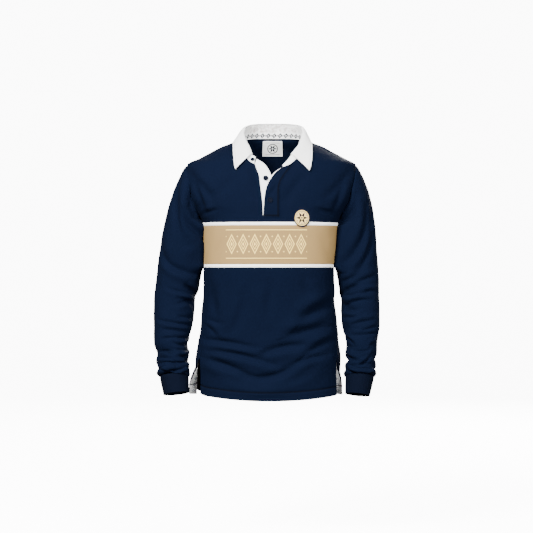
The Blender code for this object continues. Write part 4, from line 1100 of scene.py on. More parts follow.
def knit_finish(name, colour, lines=(), thread=0.7, wale=0.0014, course=0.0011, mottle=0.10,
                rough=0.9, sheen=0.0, depth=0.00022, rib=None):
    """Plain knit, whose loops run up the cloth, with its lines of stitches. The loops' crowns are
    painted lighter (painted highlight), and the stitch grooves darker (painted shade).
    """
    finish = Finish(name, rough, sheen)
    across, up, _ = finish.coordinates("Near")
    lean = abs((across / wale).part() - 0.5)
    rows = ((up / course + lean) * 2 * math.pi).wave()
    loops = abs(((across / wale) * math.pi).wave()) * (0.6 + 0.4 * rows)
    height = loops
    if rib:
        height = 0.35 * loops + 0.65 * abs((across / rib * math.pi).wave())
    tone = finish.cloud(14.0, 3.0) * 0.6 + finish.cloud(160.0) * 0.4
    base = finish.mix(tone, shade(colour, 1 - mottle), shade(colour, 1 + mottle))
    # Painted highlight: the loops' raised crowns are painted lighter than the hollows between them.
    base = finish.mix(loops * 0.25, base, shade(colour, 1.25))
    for edge, at in lines:
        mask, groove = stitch_line(finish, edge, at)
        # Painted shade: the groove beside the stitches is painted darker.
        base = finish.mix((groove * 1.5).least(0.85), base, shade(colour, 0.25))
        base = finish.mix(mask, base, shade(colour, thread))
        height = height * (1 - groove) + mask * 0.3
    finish.colour(base)
    finish.bump(height, depth, 0.7)
    return finish


def twill_finish(name, colour, lines=(), shading=0.10):
    """Woven twill with fine diagonal lines, and painted shade in the grooves beside its stitches.
    """
    finish = Finish(name, 0.8, 0.05)
    across, up, _ = finish.coordinates("Near")
    diagonal = abs((((across + up) / 0.0016) * math.pi).wave())
    tone = finish.cloud(24.0, 3.0)
    base = finish.mix(tone, shade(colour, 1 - shading), colour)
    height = diagonal
    for edge, at in lines:
        mask, groove = stitch_line(finish, edge, at, 0.0022, 0.0028)
        base = finish.mix(mask * 0.6, base, shade(colour, 0.62))
        # Painted shade: the groove beside the stitches is painted darker.
        base = finish.mix(groove * 0.5, base, shade(colour, 0.55))
        height = height * (1 - groove)
    finish.colour(base)
    finish.bump(height, 0.00016, 0.6)
    return finish


def stand_finish():
    """Collar stand's twill, crumpled and shaded inside the back of the neck."""
    finish = twill_finish("stand_twill", WHITE, [("low", 0.0020)], 0.08)
    depth = finish.coordinates()[1]
    behind = ((depth - 0.02) / 0.03).most(0.0).least(1.0)
    crumple = ((finish.cloud(150.0, 3.0) - 0.42) * 4).most(0.0).least(1.0)
    base = finish.shader.inputs["Base Color"].links[0].from_socket
    finish.colour(finish.mix(behind * crumple * 0.8, Value(finish, base), NECK_SHADOW))
    return finish


def band_finish(back):
    """Tan knit, which in front has a printed chain of outlined lozenges."""
    name = "tan_knit_back" if back else "tan_knit_front"
    finish = knit_finish(name, TAN, mottle=0.05, rough=0.85)
    if back:
        return finish
    x, _, z = finish.coordinates()
    off = x - PRINT_MIDDLE[0]
    rise = z - PRINT_MIDDLE[1]
    inside = abs(off) < 0.5 * PRINT_WIDTH
    cell = (off / PRINT_PITCH + 0.5 * (PRINT_COUNT % 2)).part() - 0.5
    lozenge = abs(cell) / 0.44 + abs(rise) / (0.5 * PRINT_HEIGHT)
    ring = abs(lozenge - 0.90) < 0.10
    inner = abs(lozenge - 0.50) < 0.07
    heart = lozenge < 0.20
    rules = abs(abs(rise) - PRINT_RULE) < 0.0010
    beads = (abs(abs(cell) - 0.5) / 0.07 + abs(abs(rise) - 0.37 * PRINT_HEIGHT) / 0.0024) < 1.0
    mask = ring.most(inner).most(heart).most(beads).most(rules) * inside
    wear = 0.82 + 0.18 * finish.cloud(900.0)
    base = finish.shader.inputs["Base Color"].links[0].from_socket
    finish.colour(finish.mix(mask * wear, Value(finish, base), PRINT_CREAM))
    return finish


def motif_tape_finish(name, pitch, size, colour, lengthwise):
    """Woven white tape with a small repeated lozenge between short bars."""
    finish = Finish(name, 0.75)
    place = finish.coordinates("Near")
    far = finish.coordinates("Far")
    along, across = (place[0], place[1]) if lengthwise else (place[1], place[0])
    back = far[1] if lengthwise else far[0]
    off = 0.5 * (across - back)
    cell = ((along / pitch).part() - 0.5) * pitch
    lozenge = abs(abs(cell) + abs(off) - 0.58 * size) < 0.26 * size
    dot = abs(cell) + abs(off) < 0.14 * size
    bar = (abs(off) < 0.30 * size) * (abs(abs(cell) - 0.5 * pitch) < 0.05 * pitch)
    mask = lozenge.most(dot).most(bar)
    weave = ((along / 0.0009) * 2 * math.pi).wave() * ((across / 0.0009) * 2 * math.pi).wave()
    edge = (across.least(back) < 0.0012)
    base = finish.mix(finish.cloud(30.0), shade(WHITE, 0.93), WHITE)
    base = finish.mix(edge * 0.15, base, shade(WHITE, 0.85))
    finish.colour(finish.mix(mask, base, colour))
    finish.bump(weave, 0.0001, 0.5)
    return finish


def label_finish():
    """Satin label: a dark rosette in a ring, between two bars on a pale ground."""
    finish = Finish("label_satin", 0.5, 0.1)
    left, low, _ = finish.coordinates("Near")
    right, top, _ = finish.coordinates("Far")
    margin = left.least(right).least(low.least(top))
    off, rise = 0.5 * (left - right), 0.5 * (low - top)
    radius, angle = polar(off, rise)
    petals = radius < 0.0078 + 0.0032 * (angle * 6).maths("COSINE", angle * 6)
    heart = radius < 0.0024
    ring = abs(radius - 0.0138) < 0.0013
    bars = (abs(abs(rise) - 0.0180) < 0.0006) * (abs(off) < 0.020)
    base = finish.mix(margin < 0.0022, LABEL_BORDER, LABEL_GROUND)
    mask = (petals * (1 - heart)).most(ring).most(bars)
    finish.colour(finish.mix(mask, base, INK))
    finish.bump(((left + low) / 0.0006 * math.pi).wave(), 0.00005, 0.4)
    return finish


def badge_finish():
    """Embroidered badge: cream ground, navy rings and a navy rosette, with painted sheen along its
    stitches.
    """
    finish = Finish("badge_embroidery", 0.65, 0.1)
    x, _, z = finish.coordinates()
    off = (x - BADGE_X) / BADGE_RADIUS
    rise = (z - BADGE_LEVEL) / (BADGE_RADIUS * BADGE_TALL)
    radius, angle = polar(off, rise)
    border = abs(radius - 0.96) < 0.10
    ring = abs(radius - 0.74) < 0.025
    petals = (radius < 0.43 + 0.14 * (angle * 6).maths("COSINE", angle * 6)) * (radius > 0.20)
    heart = radius < 0.10
    beads = (abs(radius - 0.60) < 0.045) * ((angle * 12).maths("COSINE", angle * 12) > 0.55)
    mask = border.most(ring).most(petals).most(heart).most(beads)
    thread = ((off * 70 + rise * 40)).wave()
    # Painted sheen: the stitches' ridges are painted lighter, on the same waves as their relief.
    base = finish.mix(0.5 + 0.2 * thread, shade(CREAM, 0.9), shade(CREAM, 1.08))
    navy = finish.mix(0.5 + 0.3 * thread, shade(NAVY, 0.8), shade(NAVY, 1.6))
    finish.colour(finish.mix(mask, base, navy))
    finish.bump(thread * 0.5 + mask * 0.6, 0.0002, 0.6)
    return finish


def plastic_finish(name, colour, rough):
    """Moulded plastic with slight unevenness."""
    finish = Finish(name, rough, 0.0, 0.05)
    finish.colour(finish.mix(finish.cloud(300.0), shade(colour, 0.9), shade(colour, 1.15)))
    return finish


def thread_finish(name, colour):
    """Twisted sewing thread."""
    finish = Finish(name, 0.7)
    x, _, z = finish.coordinates()
    twist = ((x + z) / 0.0004).wave()
    # Painted highlight: the thread is painted lighter and darker along its twist.
    finish.colour(finish.mix(0.5 + 0.4 * twist, shade(colour, 0.8), shade(colour, 1.2)))
    return finish


# Pieces

def sheet(node, patches, finish, wall, flat, share=1.0):
    """Cloth in place of a solid, which it hides; the width and length it was cut to only make an
    area that nothing uses.
    """
    thing = cloth(node + "_cloth", patches, finish, wall)
    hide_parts(node)
    area = None if share == 1.0 else share * flat[0] * flat[1]


def panel_turn(level, share, back):
    """Turn at a share of a panel's width, from one side seam to the other."""
    gap = math.degrees(0.5 * SEAM / SEAM_RADIUS)
    edge = side_turn(level)
    if back:
        return blend(edge + gap, 360.0 - edge - gap, share)
    return blend(gap - edge, edge - gap, share)


def hoop_patch(back, top, bottom):
    """Grid of the front or back between two levels."""
    u, v = grid(shares(0.49, 0.0045), shares(top - bottom, 0.0035))
    level = blend(bottom + SEAM / 2, top - SEAM / 2, v)
    points = body_point(level, panel_turn(level, u, back), back)
    return patch(points, body_rise(points), "left right low top")


def lower_patch(back):
    """Grid from the hoop down to the hem, with its free edges at the vents."""
    centre = HEM_BACK if back else HEM_FRONT
    u, v = grid(shares(0.5, 0.0038), shares(0.36, 0.0031))
    hem_x = body_point(centre, panel_turn(centre, u, back))[..., 0]
    level = blend(hem_level(hem_x, centre), HOOP_BOTTOM - SEAM / 2, v)
    points = body_point(level, panel_turn(level, u, back), back)
    across, up, across_back, _ = edge_distances(points)
    rise = body_rise(points)
    rise += (tucked(across) + tucked(across_back)) * ramp(level - VENT_TOP, VENT_SEAM_FADE)
    rise -= HEM_GROOVE * hump(up - HEM_DEEP, HEM_GROOVE_WIDTH)
    rise += HEM_THICKER * ramp(HEM_DEEP - up, HEM_THICKER_FADE)
    return patch(points, rise, "top")


def half_points(side, back, inner, u, v):
    """Points of half an upper panel between its inner edge and the armhole."""
    edge = inner(v)
    inner_turn = np.abs(turn_at_x(edge[..., 0], edge[..., 2]))
    if back:
        inner_turn = 180.0 - inner_turn
    outer_level = blend(UNDERARM + SEAM / 2, SHOULDER_POINT, v)
    reach = armhole_reach(outer_level, back) + 0.5 * SEAM * (-1 if back else 1)
    outer_turn = turn_at_depth(reach, outer_level)
    level = blend(edge[..., 2], outer_level, u)
    turn = blend(inner_turn, outer_turn, u)
    pull = edge - body_point(edge[..., 2], side * inner_turn)
    return body_point(level, side * turn) + pull * ((1 - u) ** 2)[..., None]


def half_patch(side, back):
    """Grid of half an upper panel, which meets the other panel at the shoulder."""
    u, v = grid(shares(0.16, 0.0042), np.linspace(0, 1, UPPER_ROWS + 1))
    inners = front_inner(side), back_inner(side)
    points = half_points(side, back, inners[back], u, v)
    tops = [half_points(side, face, inners[face], u[-1:], v[-1:]) for face in (False, True)]
    meeting = 0.5 * (tops[0] + tops[1]) + places(0, 0.5 * SEAM * (1 if back else -1), 0)
    closing = ramp(v - SHOULDER_SHARE, 1 - SHOULDER_SHARE) ** 2
    points = points + (meeting - points[-1:]) * closing[..., None]
    rise = body_rise(points)
    across, up, across_back, up_back = edge_distances(points)
    rise += ARMHOLE_TUCK * tucked(across_back) + tucked(up) + SHOULDER_TUCK * tucked(up_back)
    neck_share = BACK_NECK_SHARE if back else JOIN_SHARE
    rise += tucked(across) * (v > neck_share)
    return patch(points, rise)


def front_inner(side):
    """Inner edge of half the upper front: slot line, placket join, then neck seam."""
    rows = STRIPS["under" if side < 0 else "over"]
    slot_x = rows[0]["join_x"]
    top = collar_point(side, STAND_JOIN[side], "seam")

    def inner(share):
        slot_level = blend(HOOP_TOP + SEAM / 2, SLOT_BOTTOM, share / SLOT_SHARE)
        slot = body_point(slot_level, turn_at_x(slot_x, slot_level))
        part = ramp(share - SLOT_SHARE, JOIN_SHARE - SLOT_SHARE)
        level = blend(SLOT_BOTTOM, top[2], part)
        point = body_point(level, turn_at_x(between(rows, "join_level", "join_x", level), level))
        pull = ramp(part - NECK_PULL_FROM, 1 - NECK_PULL_FROM) ** 2
        join = point + (top - point) * pull[..., None]
        part = ramp(share - JOIN_SHARE, 1 - JOIN_SHARE)
        neck = collar_point(side, blend(STAND_JOIN[side], NECK_POINT_TURN, part), "seam")
        neck = neck - places(0, 0.5 * SEAM * part, 0)
        lower = np.where((share <= SLOT_SHARE + NEAR)[..., None], slot, join)
        return np.where((share <= JOIN_SHARE + NEAR)[..., None], lower, neck)

    return inner


def back_inner(side):
    """Inner edge of half the upper back: middle line, then neck seam."""
    neck = collar_point(side, 0, "seam")

    def inner(share):
        part = ramp(share, BACK_NECK_SHARE)
        level = blend(HOOP_TOP + SEAM / 2, neck[2], part)
        x = neck[0] * part
        point = body_point(level, 180.0 - turn_at_x(x, level))
        middle = point + (neck - point) * (part**BACK_PULL)[..., None]
        part = ramp(share - BACK_NECK_SHARE, 1 - BACK_NECK_SHARE)
        seam = collar_point(side, NECK_POINT_TURN * part, "seam") + places(0, 0.5 * SEAM * part, 0)
        return np.where((share <= BACK_NECK_SHARE + NEAR)[..., None], middle, seam)

    return inner


def slot_patch():
    """Grid of the upper front below the placket slot."""
    left, right = (front_inner(side) for side in (-1, 1))
    u, v = grid(np.linspace(0, 1, 11), np.linspace(0, 1, UPPER_ROWS + 1)[: UPPER_ROWS // 11 + 1])
    v = v * SLOT_SHARE / v.max()
    level = right(v)[..., 2]
    x = blend(left(v)[..., 0], right(v)[..., 0], u)
    points = body_point(level, turn_at_x(x, level))
    up = edge_distances(points)[1]
    return patch(points, body_rise(points) + tucked(up))


def add_body(finishes):
    """Front and back panels, with the hoop between its two stripes."""
    for name, back in (("front", False), ("back", True)):
        hoops = (("stripe_upper", HOOP_TOP, BAND_TOP, finishes["stripe"]),
                 ("band", BAND_TOP, BAND_BOTTOM, finishes["band_" + name]),
                 ("stripe_lower", BAND_BOTTOM, HOOP_BOTTOM, finishes["stripe"]))
        for part, top, bottom, finish in hoops:
            flat = (0.49, round(top - bottom + 0.002, 4))
            sheet(f"{name}_{part}", [hoop_patch(back, top, bottom)], finish, WALL, flat)
        sheet(name + "_lower", [lower_patch(back)], finishes["lower"], WALL, (0.52, 0.36))
    front, behind = ([half_patch(side, back) for side in (-1, 1)] for back in (False, True))
    sheet("front_upper", [*front, slot_patch()], finishes["upper"], WALL, (0.52, 0.25), 0.75)
    sheet("back_upper", behind, finishes["upper"], WALL, (0.52, 0.26), 0.85)


def sleeve_row(rows, column, level):
    """A size of the sleeve ring at a level."""
    return between(rows, "level", column, level)


def sleeve_fold_rise(side, turn, level):
    """Rise of the sleeve cloth from its broad folds."""
    rise = 0.0
    for fold in SLEEVE_FOLDS:
        if fold["side"] != side:
            continue
        around = (turn - fold["turn"] + 180.0) % 360.0 - 180.0
        line = fold["level"] + fold["slope"] * around / 45.0
        profile = hump(level - line, fold["width"]) * hump(around, 0.5 * fold["reach"])
        rise = rise + fold["height"] * profile
    return rise


def sleeve_ring(side, turn, level):
    """Points of a sleeve below its head; turn 0 is outside and 90 is in front."""
    rows = SLEEVES[side]
    outer, inner = sleeve_row(rows, "outer", level), sleeve_row(rows, "inner", level)
    angle = np.radians(turn)
    rise = sleeve_fold_rise(side, turn, level)
    half_width = 0.5 * np.abs(outer - inner) + rise
    half_depth = sleeve_row(rows, "depth", level) + rise
    across = half_width * signed_power(np.cos(angle), 2 / SLEEVE_SQUARE)
    forward = half_depth * signed_power(np.sin(angle), 2 / SLEEVE_SQUARE)
    lift = sleeve_row(rows, "rise", level) * forward
    middle = sleeve_row(rows, "middle", level)
    return places(0.5 * (outer + inner) + side * across, middle - forward, level + lift)


def sleeve_head(side, turn, share):
    """Points of a sleeve's head, which runs from the armhole to the first ring."""
    top = 0.5 * (1 + np.cos(np.radians(turn)))
    back = turn > 180.0
    level = blend(UNDERARM, SHOULDER_POINT, top)
    start = body_point(level, side * armhole_turn(level, back))
    depth = np.sin(np.radians(turn))
    leave = unit(places(side * blend(*HEAD_OUT, top), -HEAD_FORWARD * depth, -HEAD_DOWN))
    start = start + places(side * ARMHOLE_GAP, 0, 0) + leave * (ARMHOLE_GAP * (1 - top))[..., None]
    leave = leave * blend(*HEAD_LEAVE, top)[..., None]
    end = sleeve_ring(side, turn, HEAD_LEVEL)
    arrive = (sleeve_ring(side, turn, HEAD_LEVEL - HEAD_STEP) - end) / HEAD_STEP
    arrive = arrive * blend(*HEAD_ARRIVE, top)[..., None]
    t = share[..., None]
    return (
        start * (2 * t**3 - 3 * t**2 + 1)
        + leave * (t**3 - 2 * t**2 + t)
        + end * (3 * t**2 - 2 * t**3)
        + arrive * (t**3 - t**2)
    )


def sleeve_creases(side):
    """Creases of one sleeve, with their turns made distances round it."""
    creases = []
    for row in SLEEVE_CREASES:
        if row["side"] == side:
            crease = dict(row)
            for end in "123":
                crease["x" + end] = math.radians(row["turn" + end]) * SLEEVE_RADIUS
            creases.append(crease)
    return creases


def beside_body(side, turn, points):
    """Sleeve points swelled in front of the body's side and kept clear of it."""
    level = points[..., 2]
    window = ramp(SWELL_TOP - level, SWELL_FADE) * ramp(level - SWELL_LOW, SWELL_FADE)
    swell = window * hump(turn - SWELL_TURN, SWELL_REACH)
    x = np.abs(points[..., 0]) - SWELL * swell
    body_edge = np.abs(body_point(level, turn_at_depth(-points[..., 1], level))[..., 0])
    clear = SLEEVE_CLEAR * ramp(UNDERARM - level, CLEAR_FADE)
    x = np.where(level < UNDERARM, np.maximum(x, body_edge + clear), x)
    return places(side * x, points[..., 1], level)


def sleeve_patch(side):
    """Grid of a sleeve from its armhole down to its cuff."""
    columns = np.linspace(0, 360, SLEEVE_COLUMNS + 1)
    head = np.concatenate([HEAD_FIRST_ROWS, np.linspace(0.02, 1, SLEEVE_HEAD_ROWS)])[:-1]
    arm = 1 - (1 - np.linspace(0, 1, SLEEVE_ARM_ROWS)) ** SLEEVE_CROWDING
    turn, share = np.broadcast_arrays(columns[None, :], head[:, None])
    above = sleeve_head(side, turn, share)
    turn, level = np.broadcast_arrays(columns[None, :], blend(HEAD_LEVEL, SLEEVE_END, arm)[:, None])
    points = np.concatenate([above, sleeve_ring(side, turn, level)])
    turn = np.broadcast_to(columns[None, :], points.shape[:-1])
    points = beside_body(side, turn, points)
    chest = places(CHEST_SIDE * side, points[:1, :, 1], CHEST_LEVEL)
    lap = points[:1] + LAP * unit(chest - points[:1])
    points = np.concatenate([lap, points])
    turn = np.concatenate([turn[:1], turn])
    lift = points[..., 2]
    arc = np.radians(turn) * SLEEVE_RADIUS
    rise = ripple(points, "sleeve")
    for shift in (0.0, 2 * math.pi * SLEEVE_RADIUS):
        rise = rise + fold_rise(sleeve_creases(side), arc + shift, lift)
    past = np.maximum(0.0, edge_distances(points)[1] - LAP)
    rise -= LAP_DEEP * hump(past, LAP_WIDTH)
    return patch(points, rise, "top", None, True)


def cuff_patch(side):
    """Grid of a cuff from its seam down to its folded rim."""
    ends = [row for row in CUFF if row["side"] == side]
    columns = np.linspace(0, 360, 97)
    rows = np.concatenate([shares(0.048, 0.003), [1.0]])
    turn, share = np.broadcast_arrays(columns[None, :], rows[:, None])
    size = {key: blend(ends[0][key], ends[1][key], share) for key in ends[0]}
    angle = np.radians(turn)
    across = side * size["half_width"] * np.cos(angle)
    forward = size["half_depth"] * np.sin(angle)
    lift = size["rise"] * forward - side * size["lean"] * across
    points = places(size["x"] + across, size["y"] - forward, size["level"] + lift)[:-1]
    return patch(points, ripple(points, "cuff"), "low", None, True)


def add_sleeves(finishes):
    """Sleeves and their cuffs."""
    for side, hand in ((-1, "right"), (1, "left")):
        sleeve, cuff = [sleeve_patch(side)], [cuff_patch(side)]
        sheet("sleeve_" + hand, sleeve, finishes["sleeve"], WALL, (0.40, 0.60), 0.85)
        sheet("cuff_" + hand, cuff, finishes["cuff"], CUFF_WALL, (0.235, 0.048))


def stand_patch():
    """Grid of the collar stand, from its seam up to its fold."""
    u, v = grid(shares(0.45, 0.004), shares(0.032, 0.003))
    turn = blend(-STAND_END[-1], STAND_END[1], u)
    seam, fold = collar_line(turn, "seam"), collar_line(turn, "fold")
    rise = fold - seam
    height = np.linalg.norm(rise, axis=-1, keepdims=True)
    points = seam + rise / height * COLLAR_GAP + rise * v[..., None] * (1 - COLLAR_GAP / height)
    crumple = ripple(points * (1.0, 1.0, 0.5), "stand_crumple")
    behind = ramp(CRUMPLE_TURN - np.abs(turn), CRUMPLE_FADE)
    return patch(points, crumple * behind + ripple(points, "stand"), "low", NECK_MIDDLE)


def leaf_patch():
    """Grid of the collar leaf, which rolls over the fold and falls to its edge."""
    u, v = grid(shares(0.50, 0.004), shares(0.05, 0.0035))
    turn = blend(-LEAF_END[-1], LEAF_END[1], u)
    up, away = stand_axes(turn)
    start = collar_line(turn, "fold") + up * LEAF_LIFT + away * 0.5 * COLLAR_WALL
    bend = start + away * LEAF_ROLL + up * LEAF_BEND
    edge = collar_line(turn, "edge")
    t = v[..., None]
    points = start * (1 - t) ** 2 + bend * 2 * t * (1 - t) + edge * t * t
    x, y, z = points[..., 0], points[..., 1], points[..., 2]
    chest = body_point(z, turn_at_x(x, z))[..., 1]
    rested = np.minimum(y, chest - LEAF_CLEAR + LEAF_FREE * (1 - v) ** 4)
    points[..., 1] = np.where(np.abs(turn) > NECK_POINT_TURN, rested, y)
    rise = ripple(points, "leaf_edge") * v + ripple(points, "leaf")
    return patch(points, rise, "", NECK_MIDDLE)


def neck_tape_patch():
    """Grid of the tape that covers the back neck seam on the inside."""
    u, v = grid(shares(0.23, 0.004), shares(NECK_TAPE_HEIGHT, 0.003))
    turn = blend(-NECK_TAPE_TURN, NECK_TAPE_TURN, u)
    inset = blend(NECK_TAPE_INSET, NECK_TAPE_LEAN * NECK_TAPE_INSET, v)
    angle = np.radians(turn)
    outward = places(np.sin(angle), np.cos(angle), 0)
    lift = places(0, 0, (v - 0.5) * NECK_TAPE_HEIGHT)
    points = collar_line(turn, "seam") - outward * inset[..., None] + lift
    return patch(points, ripple(points, "neck_tape"), "", NECK_MIDDLE)


def label_patch():
    """Grid of the neck label."""
    u, v = grid(shares(0.057, 0.003), shares(0.043, 0.003))
    x = blend(LABEL["left"], LABEL["right"], u)
    level = blend(LABEL["bottom"], LABEL["top"], v)
    points = back_surface(x, level, -blend(LABEL_INSET["bottom"], LABEL_INSET["top"], v))
    return patch(points, ripple(points, "label"))


def add_collar(finishes):
    """Collar stand and leaf, neck tape and neck label."""
    sheet("collar_stand", [stand_patch()], finishes["stand"], COLLAR_WALL, (0.48, 0.036))
    sheet("collar_leaf", [leaf_patch()], finishes["leaf"], COLLAR_WALL, (0.56, 0.065))
    tape = finishes["neck_tape"]
    sheet("neck_tape", [neck_tape_patch()], tape, TAPE_WALL, (0.235, NECK_TAPE_HEIGHT))
    sheet("neck_label", [label_patch()], finishes["label"], TAPE_WALL, (0.059, 0.044))


def strip_patch(strip, over_free, over_join, out, foot=0.0):
    """Grid of a placket strip whose edges are moved out, the free one by two amounts."""
    rows = STRIPS[strip]
    u, v = grid(shares(0.035, 0.003), shares(0.16, 0.003))
    at = blend(foot, len(rows) - 1, v)
    free, join = (
        places(between(rows, "row", edge + "_x", at), 0, between(rows, "row", edge + "_level", at))
        for edge in ("free", "join")
    )
    along = unit(join - free)
    past = blend(*over_free, v)[..., None]
    start, end = free - along * past, join + along * over_join
    spot = start + (end - start) * u[..., None]
    return patch(front_surface(spot[..., 0], spot[..., 2], out))


def add_placket(finishes):
    """Placket strips: white under strip, navy over strip and its white facing."""
    under = strip_patch("under", (0, 0), STRIP_TURN_IN, -UNDER_LAYER, UNDER_FOOT)
    sheet("under_placket", [under], finishes["under_strip"], WALL, (0.040, 0.17), 0.8)
    over = strip_patch("over", (0, 0), STRIP_TURN_IN, OVER_LAYER)
    sheet("over_placket", [over], finishes["over_strip"], WALL, (0.043, 0.16))
    facing = strip_patch("over", FACING_SHOWS, -FACING_INSET, 0.0, FACING_FOOT)
    sheet("placket_facing", [facing], finishes["facing"], WALL, (0.036, 0.16))


def vent_tape_patch(side):
    """Grid of the tape inside the back's edge at a vent."""
    u, v = grid(shares(VENT_TAPE_WIDTH, 0.003), shares(VENT_TAPE_LENGTH, 0.003))
    low, top = HEM_BACK + HEM_RISE + VENT_TAPE_ABOVE_HEM, VENT_TOP - VENT_TAPE_BELOW_TOP
    level = blend(low, top, v)
    turns = side_turn(level[:, :1]) + np.linspace(0, VENT_SEARCH, VENT_SEARCH_STEPS)
    row = body_point(level[:, :1], side * turns, True)
    run = edge_distances(row)[0]
    across = blend(*VENT_TAPE_OFF, v) + VENT_TAPE_WIDTH * u
    turn = np.stack([np.interp(*line) for line in zip(across, run, turns)])
    return patch(body_surface(level, side * turn, -0.5 * (WALL + TAPE_WALL) - LAYER, True))


def add_vent_tapes(finishes):
    """Tapes inside the back's edges at the vents."""
    for side, hand in ((-1, "right"), (1, "left")):
        tape, flat = [vent_tape_patch(side)], (VENT_TAPE_WIDTH, 0.095)
        sheet("vent_tape_" + hand, tape, finishes["vent_tape"], TAPE_WALL, flat)


def add_badge(finishes):
    """Oval sewn-on badge with a raised border."""
    rows = np.concatenate([[0.02], np.linspace(0.08, 0.86, 12), BADGE_BORDER_RINGS])
    turn, radius = np.broadcast_arrays(np.linspace(0, 2 * np.pi, 97)[None, :], rows[:, None])
    x = BADGE_X + BADGE_RADIUS * radius * np.cos(turn)
    level = BADGE_LEVEL + BADGE_TALL * BADGE_RADIUS * radius * np.sin(turn)
    border = ramp(radius - BADGE_BORDER[0], 0.03) * ramp(BADGE_BORDER[1] - radius, 0.04)
    out = 0.5 * (WALL + BADGE_WALL) + LAYER + BADGE_RAISED * border
    round_patch = patch(front_surface(x, level, out), closed=True)
    sheet("chest_badge", [round_patch], finishes["badge"], BADGE_WALL, (0.045, 0.050), 0.785)


def turned(profile, steps):
    """Bmesh of a profile of radius and height, turned about +Z."""
    maker = bmesh.new()
    verts = [maker.verts.new((across, 0, up)) for across, up in profile]
    edges = [maker.edges.new(pair) for pair in zip(verts, verts[1:])]
    bmesh.ops.spin(maker, geom=verts + edges, cent=(0, 0, 0), axis=(0, 0, 1),
                   angle=2 * math.pi, steps=steps, use_merge=True)
    bmesh.ops.remove_doubles(maker, verts=maker.verts, dist=MERGE)
    bmesh.ops.recalc_face_normals(maker, faces=maker.faces)
    return maker


def add_button(name, centre, towards, radius, finishes):
    """Dished four-hole button sewn on with two runs of thread."""
    turn = Vector(towards).to_track_quat("Z", "Y").to_matrix().to_4x4()
    turn.translation = Vector(centre)
    maker = turned([(radius * across, BUTTON_THICK * up) for across, up in BUTTON_PROFILE], 48)
    maker.transform(turn)
    button = piece(name + "_dished", maker, finishes["button"])
    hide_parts(name)
    hole, off, floor = HOLE_SIZE * radius, HOLE_OFF * radius, BUTTON_FLOOR * BUTTON_THICK
    holes = bmesh.new()
    threads = bmesh.new()
    # The holes are near-black discs on the button's floor, which has no holes cut in it: painted
    # shade.
    for across, up in ((-off, -off), (-off, off), (off, -off), (off, off)):
        made = bmesh.ops.create_cone(holes, cap_ends=True, segments=16, radius1=hole, radius2=hole,
                                     depth=HOLE_DEPTH)
        spot = Vector((across, up, floor + 0.5 * HOLE_DEPTH))
        bmesh.ops.translate(holes, verts=made["verts"], vec=spot)
    for across in (-off, off):
        made = bmesh.ops.create_uvsphere(threads, u_segments=12, v_segments=8, radius=1.0)
        size = Vector((THREAD_SIZE[0] * radius, THREAD_SIZE[1] * radius, THREAD_SIZE[2]))
        bmesh.ops.scale(threads, verts=made["verts"], vec=size)
        bmesh.ops.translate(threads, verts=made["verts"], vec=(across, 0, floor + THREAD_LIFT))
    for suffix, made, finish in (("holes", holes, "hole"), ("thread", threads, "navy_thread")):
        made.transform(turn)
        piece(f"{name}_{suffix}", made, finishes[finish])


def add_buttons(finishes):
    """Two placket buttons and the stand's button."""
    for row in BUTTONS:
        surface = row["layer"] + 0.5 * WALL + LAYER
        centre = front_surface(row["x"], row["level"], surface)
        towards = front_surface(row["x"], row["level"], surface + 0.01) - centre
        add_button(row["name"], centre, towards, BUTTON_RADIUS, finishes)
    turn = -STAND_BUTTON_TURN
    away = stand_axes(np.array(turn))[1]
    seam, fold = collar_line(turn, "seam"), collar_line(turn, "fold")
    centre = blend(seam, fold, STAND_BUTTON_SHARE) + away * (0.5 * COLLAR_WALL + STAND_BUTTON_LIFT)
    add_button("stand_button", centre, away, STAND_BUTTON_RADIUS, finishes)


def make_finishes():
    """Every finish by the name of what it covers."""
    hem = [("low", HEM_DEEP)]
    finishes = {
        "lower": knit_finish("navy_knit_lower", NAVY, hem),
        "upper": knit_finish("navy_knit_upper", NAVY),
        "sleeve": knit_finish("navy_knit_sleeve", NAVY),
        # The cuffs' navy is painted darker than the sleeves' navy: painted shade.
        "cuff": knit_finish("navy_rib_knit", shade(NAVY, 0.62), rib=0.0024, depth=0.0005),
        "stripe": knit_finish("white_knit", WHITE, mottle=0.03),
        "band_front": band_finish(False),
        "band_back": band_finish(True),
        "leaf": twill_finish("collar_twill", WHITE, [("top", 0.0060)], 0.06),
        "stand": stand_finish(),
        "under_strip": twill_finish("placket_twill", WHITE, [("left", 0.0020)], 0.06),
        "facing": twill_finish("facing_twill", WHITE),
        "over_strip": knit_finish("navy_knit_strip", NAVY, [("right", 0.0035), ("low", 0.0035)]),
        "neck_tape": motif_tape_finish("neck_tape_weave", 0.017, 0.0085, INK, True),
        "vent_tape": motif_tape_finish("vent_tape_weave", 0.018, 0.0062, GREY_BLUE, False),
        "label": label_finish(),
        "badge": badge_finish(),
        "button": plastic_finish("button_plastic", shade(NAVY, 0.7), 0.55),
        # Button holes: near-black discs of painted shade.
        "hole": plastic_finish("button_hole_shade", HOLE_SHADE, 0.8),
        "navy_thread": thread_finish("navy_thread", shade(NAVY, 1.2)),
    }
    return {name: finish.material for name, finish in finishes.items()}


# Stage

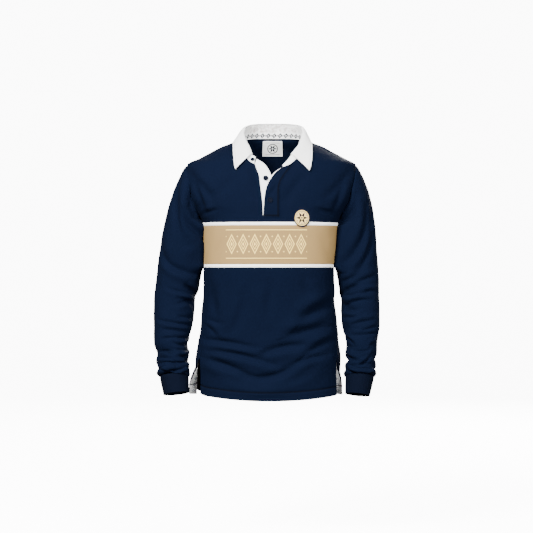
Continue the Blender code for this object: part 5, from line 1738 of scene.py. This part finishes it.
def add_camera():
    """Level camera at the photograph's distance."""
    data = bpy.data.cameras.new("camera")
    data.sensor_width = SENSOR
    data.lens = SENSOR * -CAMERA_AT[1] / PICTURE_WIDTH
    camera = bpy.data.objects.new("camera", data)
    camera.location = CAMERA_AT
    camera.rotation_euler = (math.radians(90), 0, 0)
    bpy.context.scene.collection.objects.link(camera)
    bpy.context.scene.camera = camera


def add_floor():
    """Pale round floor that curves up into a wall all round."""
    finish = Finish("pale_floor", 0.95, 0.0, 0.0)
    finish.colour(finish.mix(finish.cloud(0.6), (0.90, 0.90, 0.90), (0.92, 0.92, 0.92)))
    finish.shader.inputs["Emission Color"].default_value = (1, 1, 1, 1)
    finish.shader.inputs["Emission Strength"].default_value = FLOOR_GLOW
    profile = [(0.0, FLOOR_LEVEL)]
    for share in np.linspace(0, 0.5 * math.pi, 12):
        across = FLOOR_RADIUS - FLOOR_CURVE + FLOOR_CURVE * math.sin(share)
        profile.append((across, FLOOR_LEVEL + FLOOR_CURVE * (1 - math.cos(share))))
    profile.append((FLOOR_RADIUS, FLOOR_TALL))
    maker = turned(profile, 64)
    bmesh.ops.reverse_faces(maker, faces=maker.faces)
    for face in maker.faces:
        face.smooth = True
    mesh = bpy.data.meshes.new("floor")
    maker.to_mesh(mesh)
    maker.free()
    mesh.materials.append(finish.material)
    floor = bpy.data.objects.new("floor", mesh)
    floor.visible_diffuse = False
    floor.visible_glossy = False
    bpy.context.scene.collection.objects.link(floor)


def add_light(name, place, size, power):
    """Square soft light aimed at the jersey."""
    data = bpy.data.lights.new(name, "AREA")
    data.size = size
    data.energy = power
    light = bpy.data.objects.new(name, data)
    light.location = place
    light.rotation_euler = (Vector(LIT_PLACE) - Vector(place)).to_track_quat("-Z", "Y").to_euler()
    bpy.context.scene.collection.objects.link(light)


def add_lights():
    """Key from the upper left, weaker fill, light from behind and a pale surround."""
    for light in LIGHTS:
        add_light(**light)
    world = bpy.data.worlds.new("surround")
    world.use_nodes = True
    world.node_tree.nodes["Background"].inputs["Color"].default_value = (1, 1, 1, 1)
    world.node_tree.nodes["Background"].inputs["Strength"].default_value = SURROUND
    bpy.context.scene.world = world


add_camera()
add_floor()
add_lights()
finishes = make_finishes()
add_body(finishes)
add_sleeves(finishes)
add_collar(finishes)
add_placket(finishes)
add_vent_tapes(finishes)
add_badge(finishes)
add_buttons(finishes)
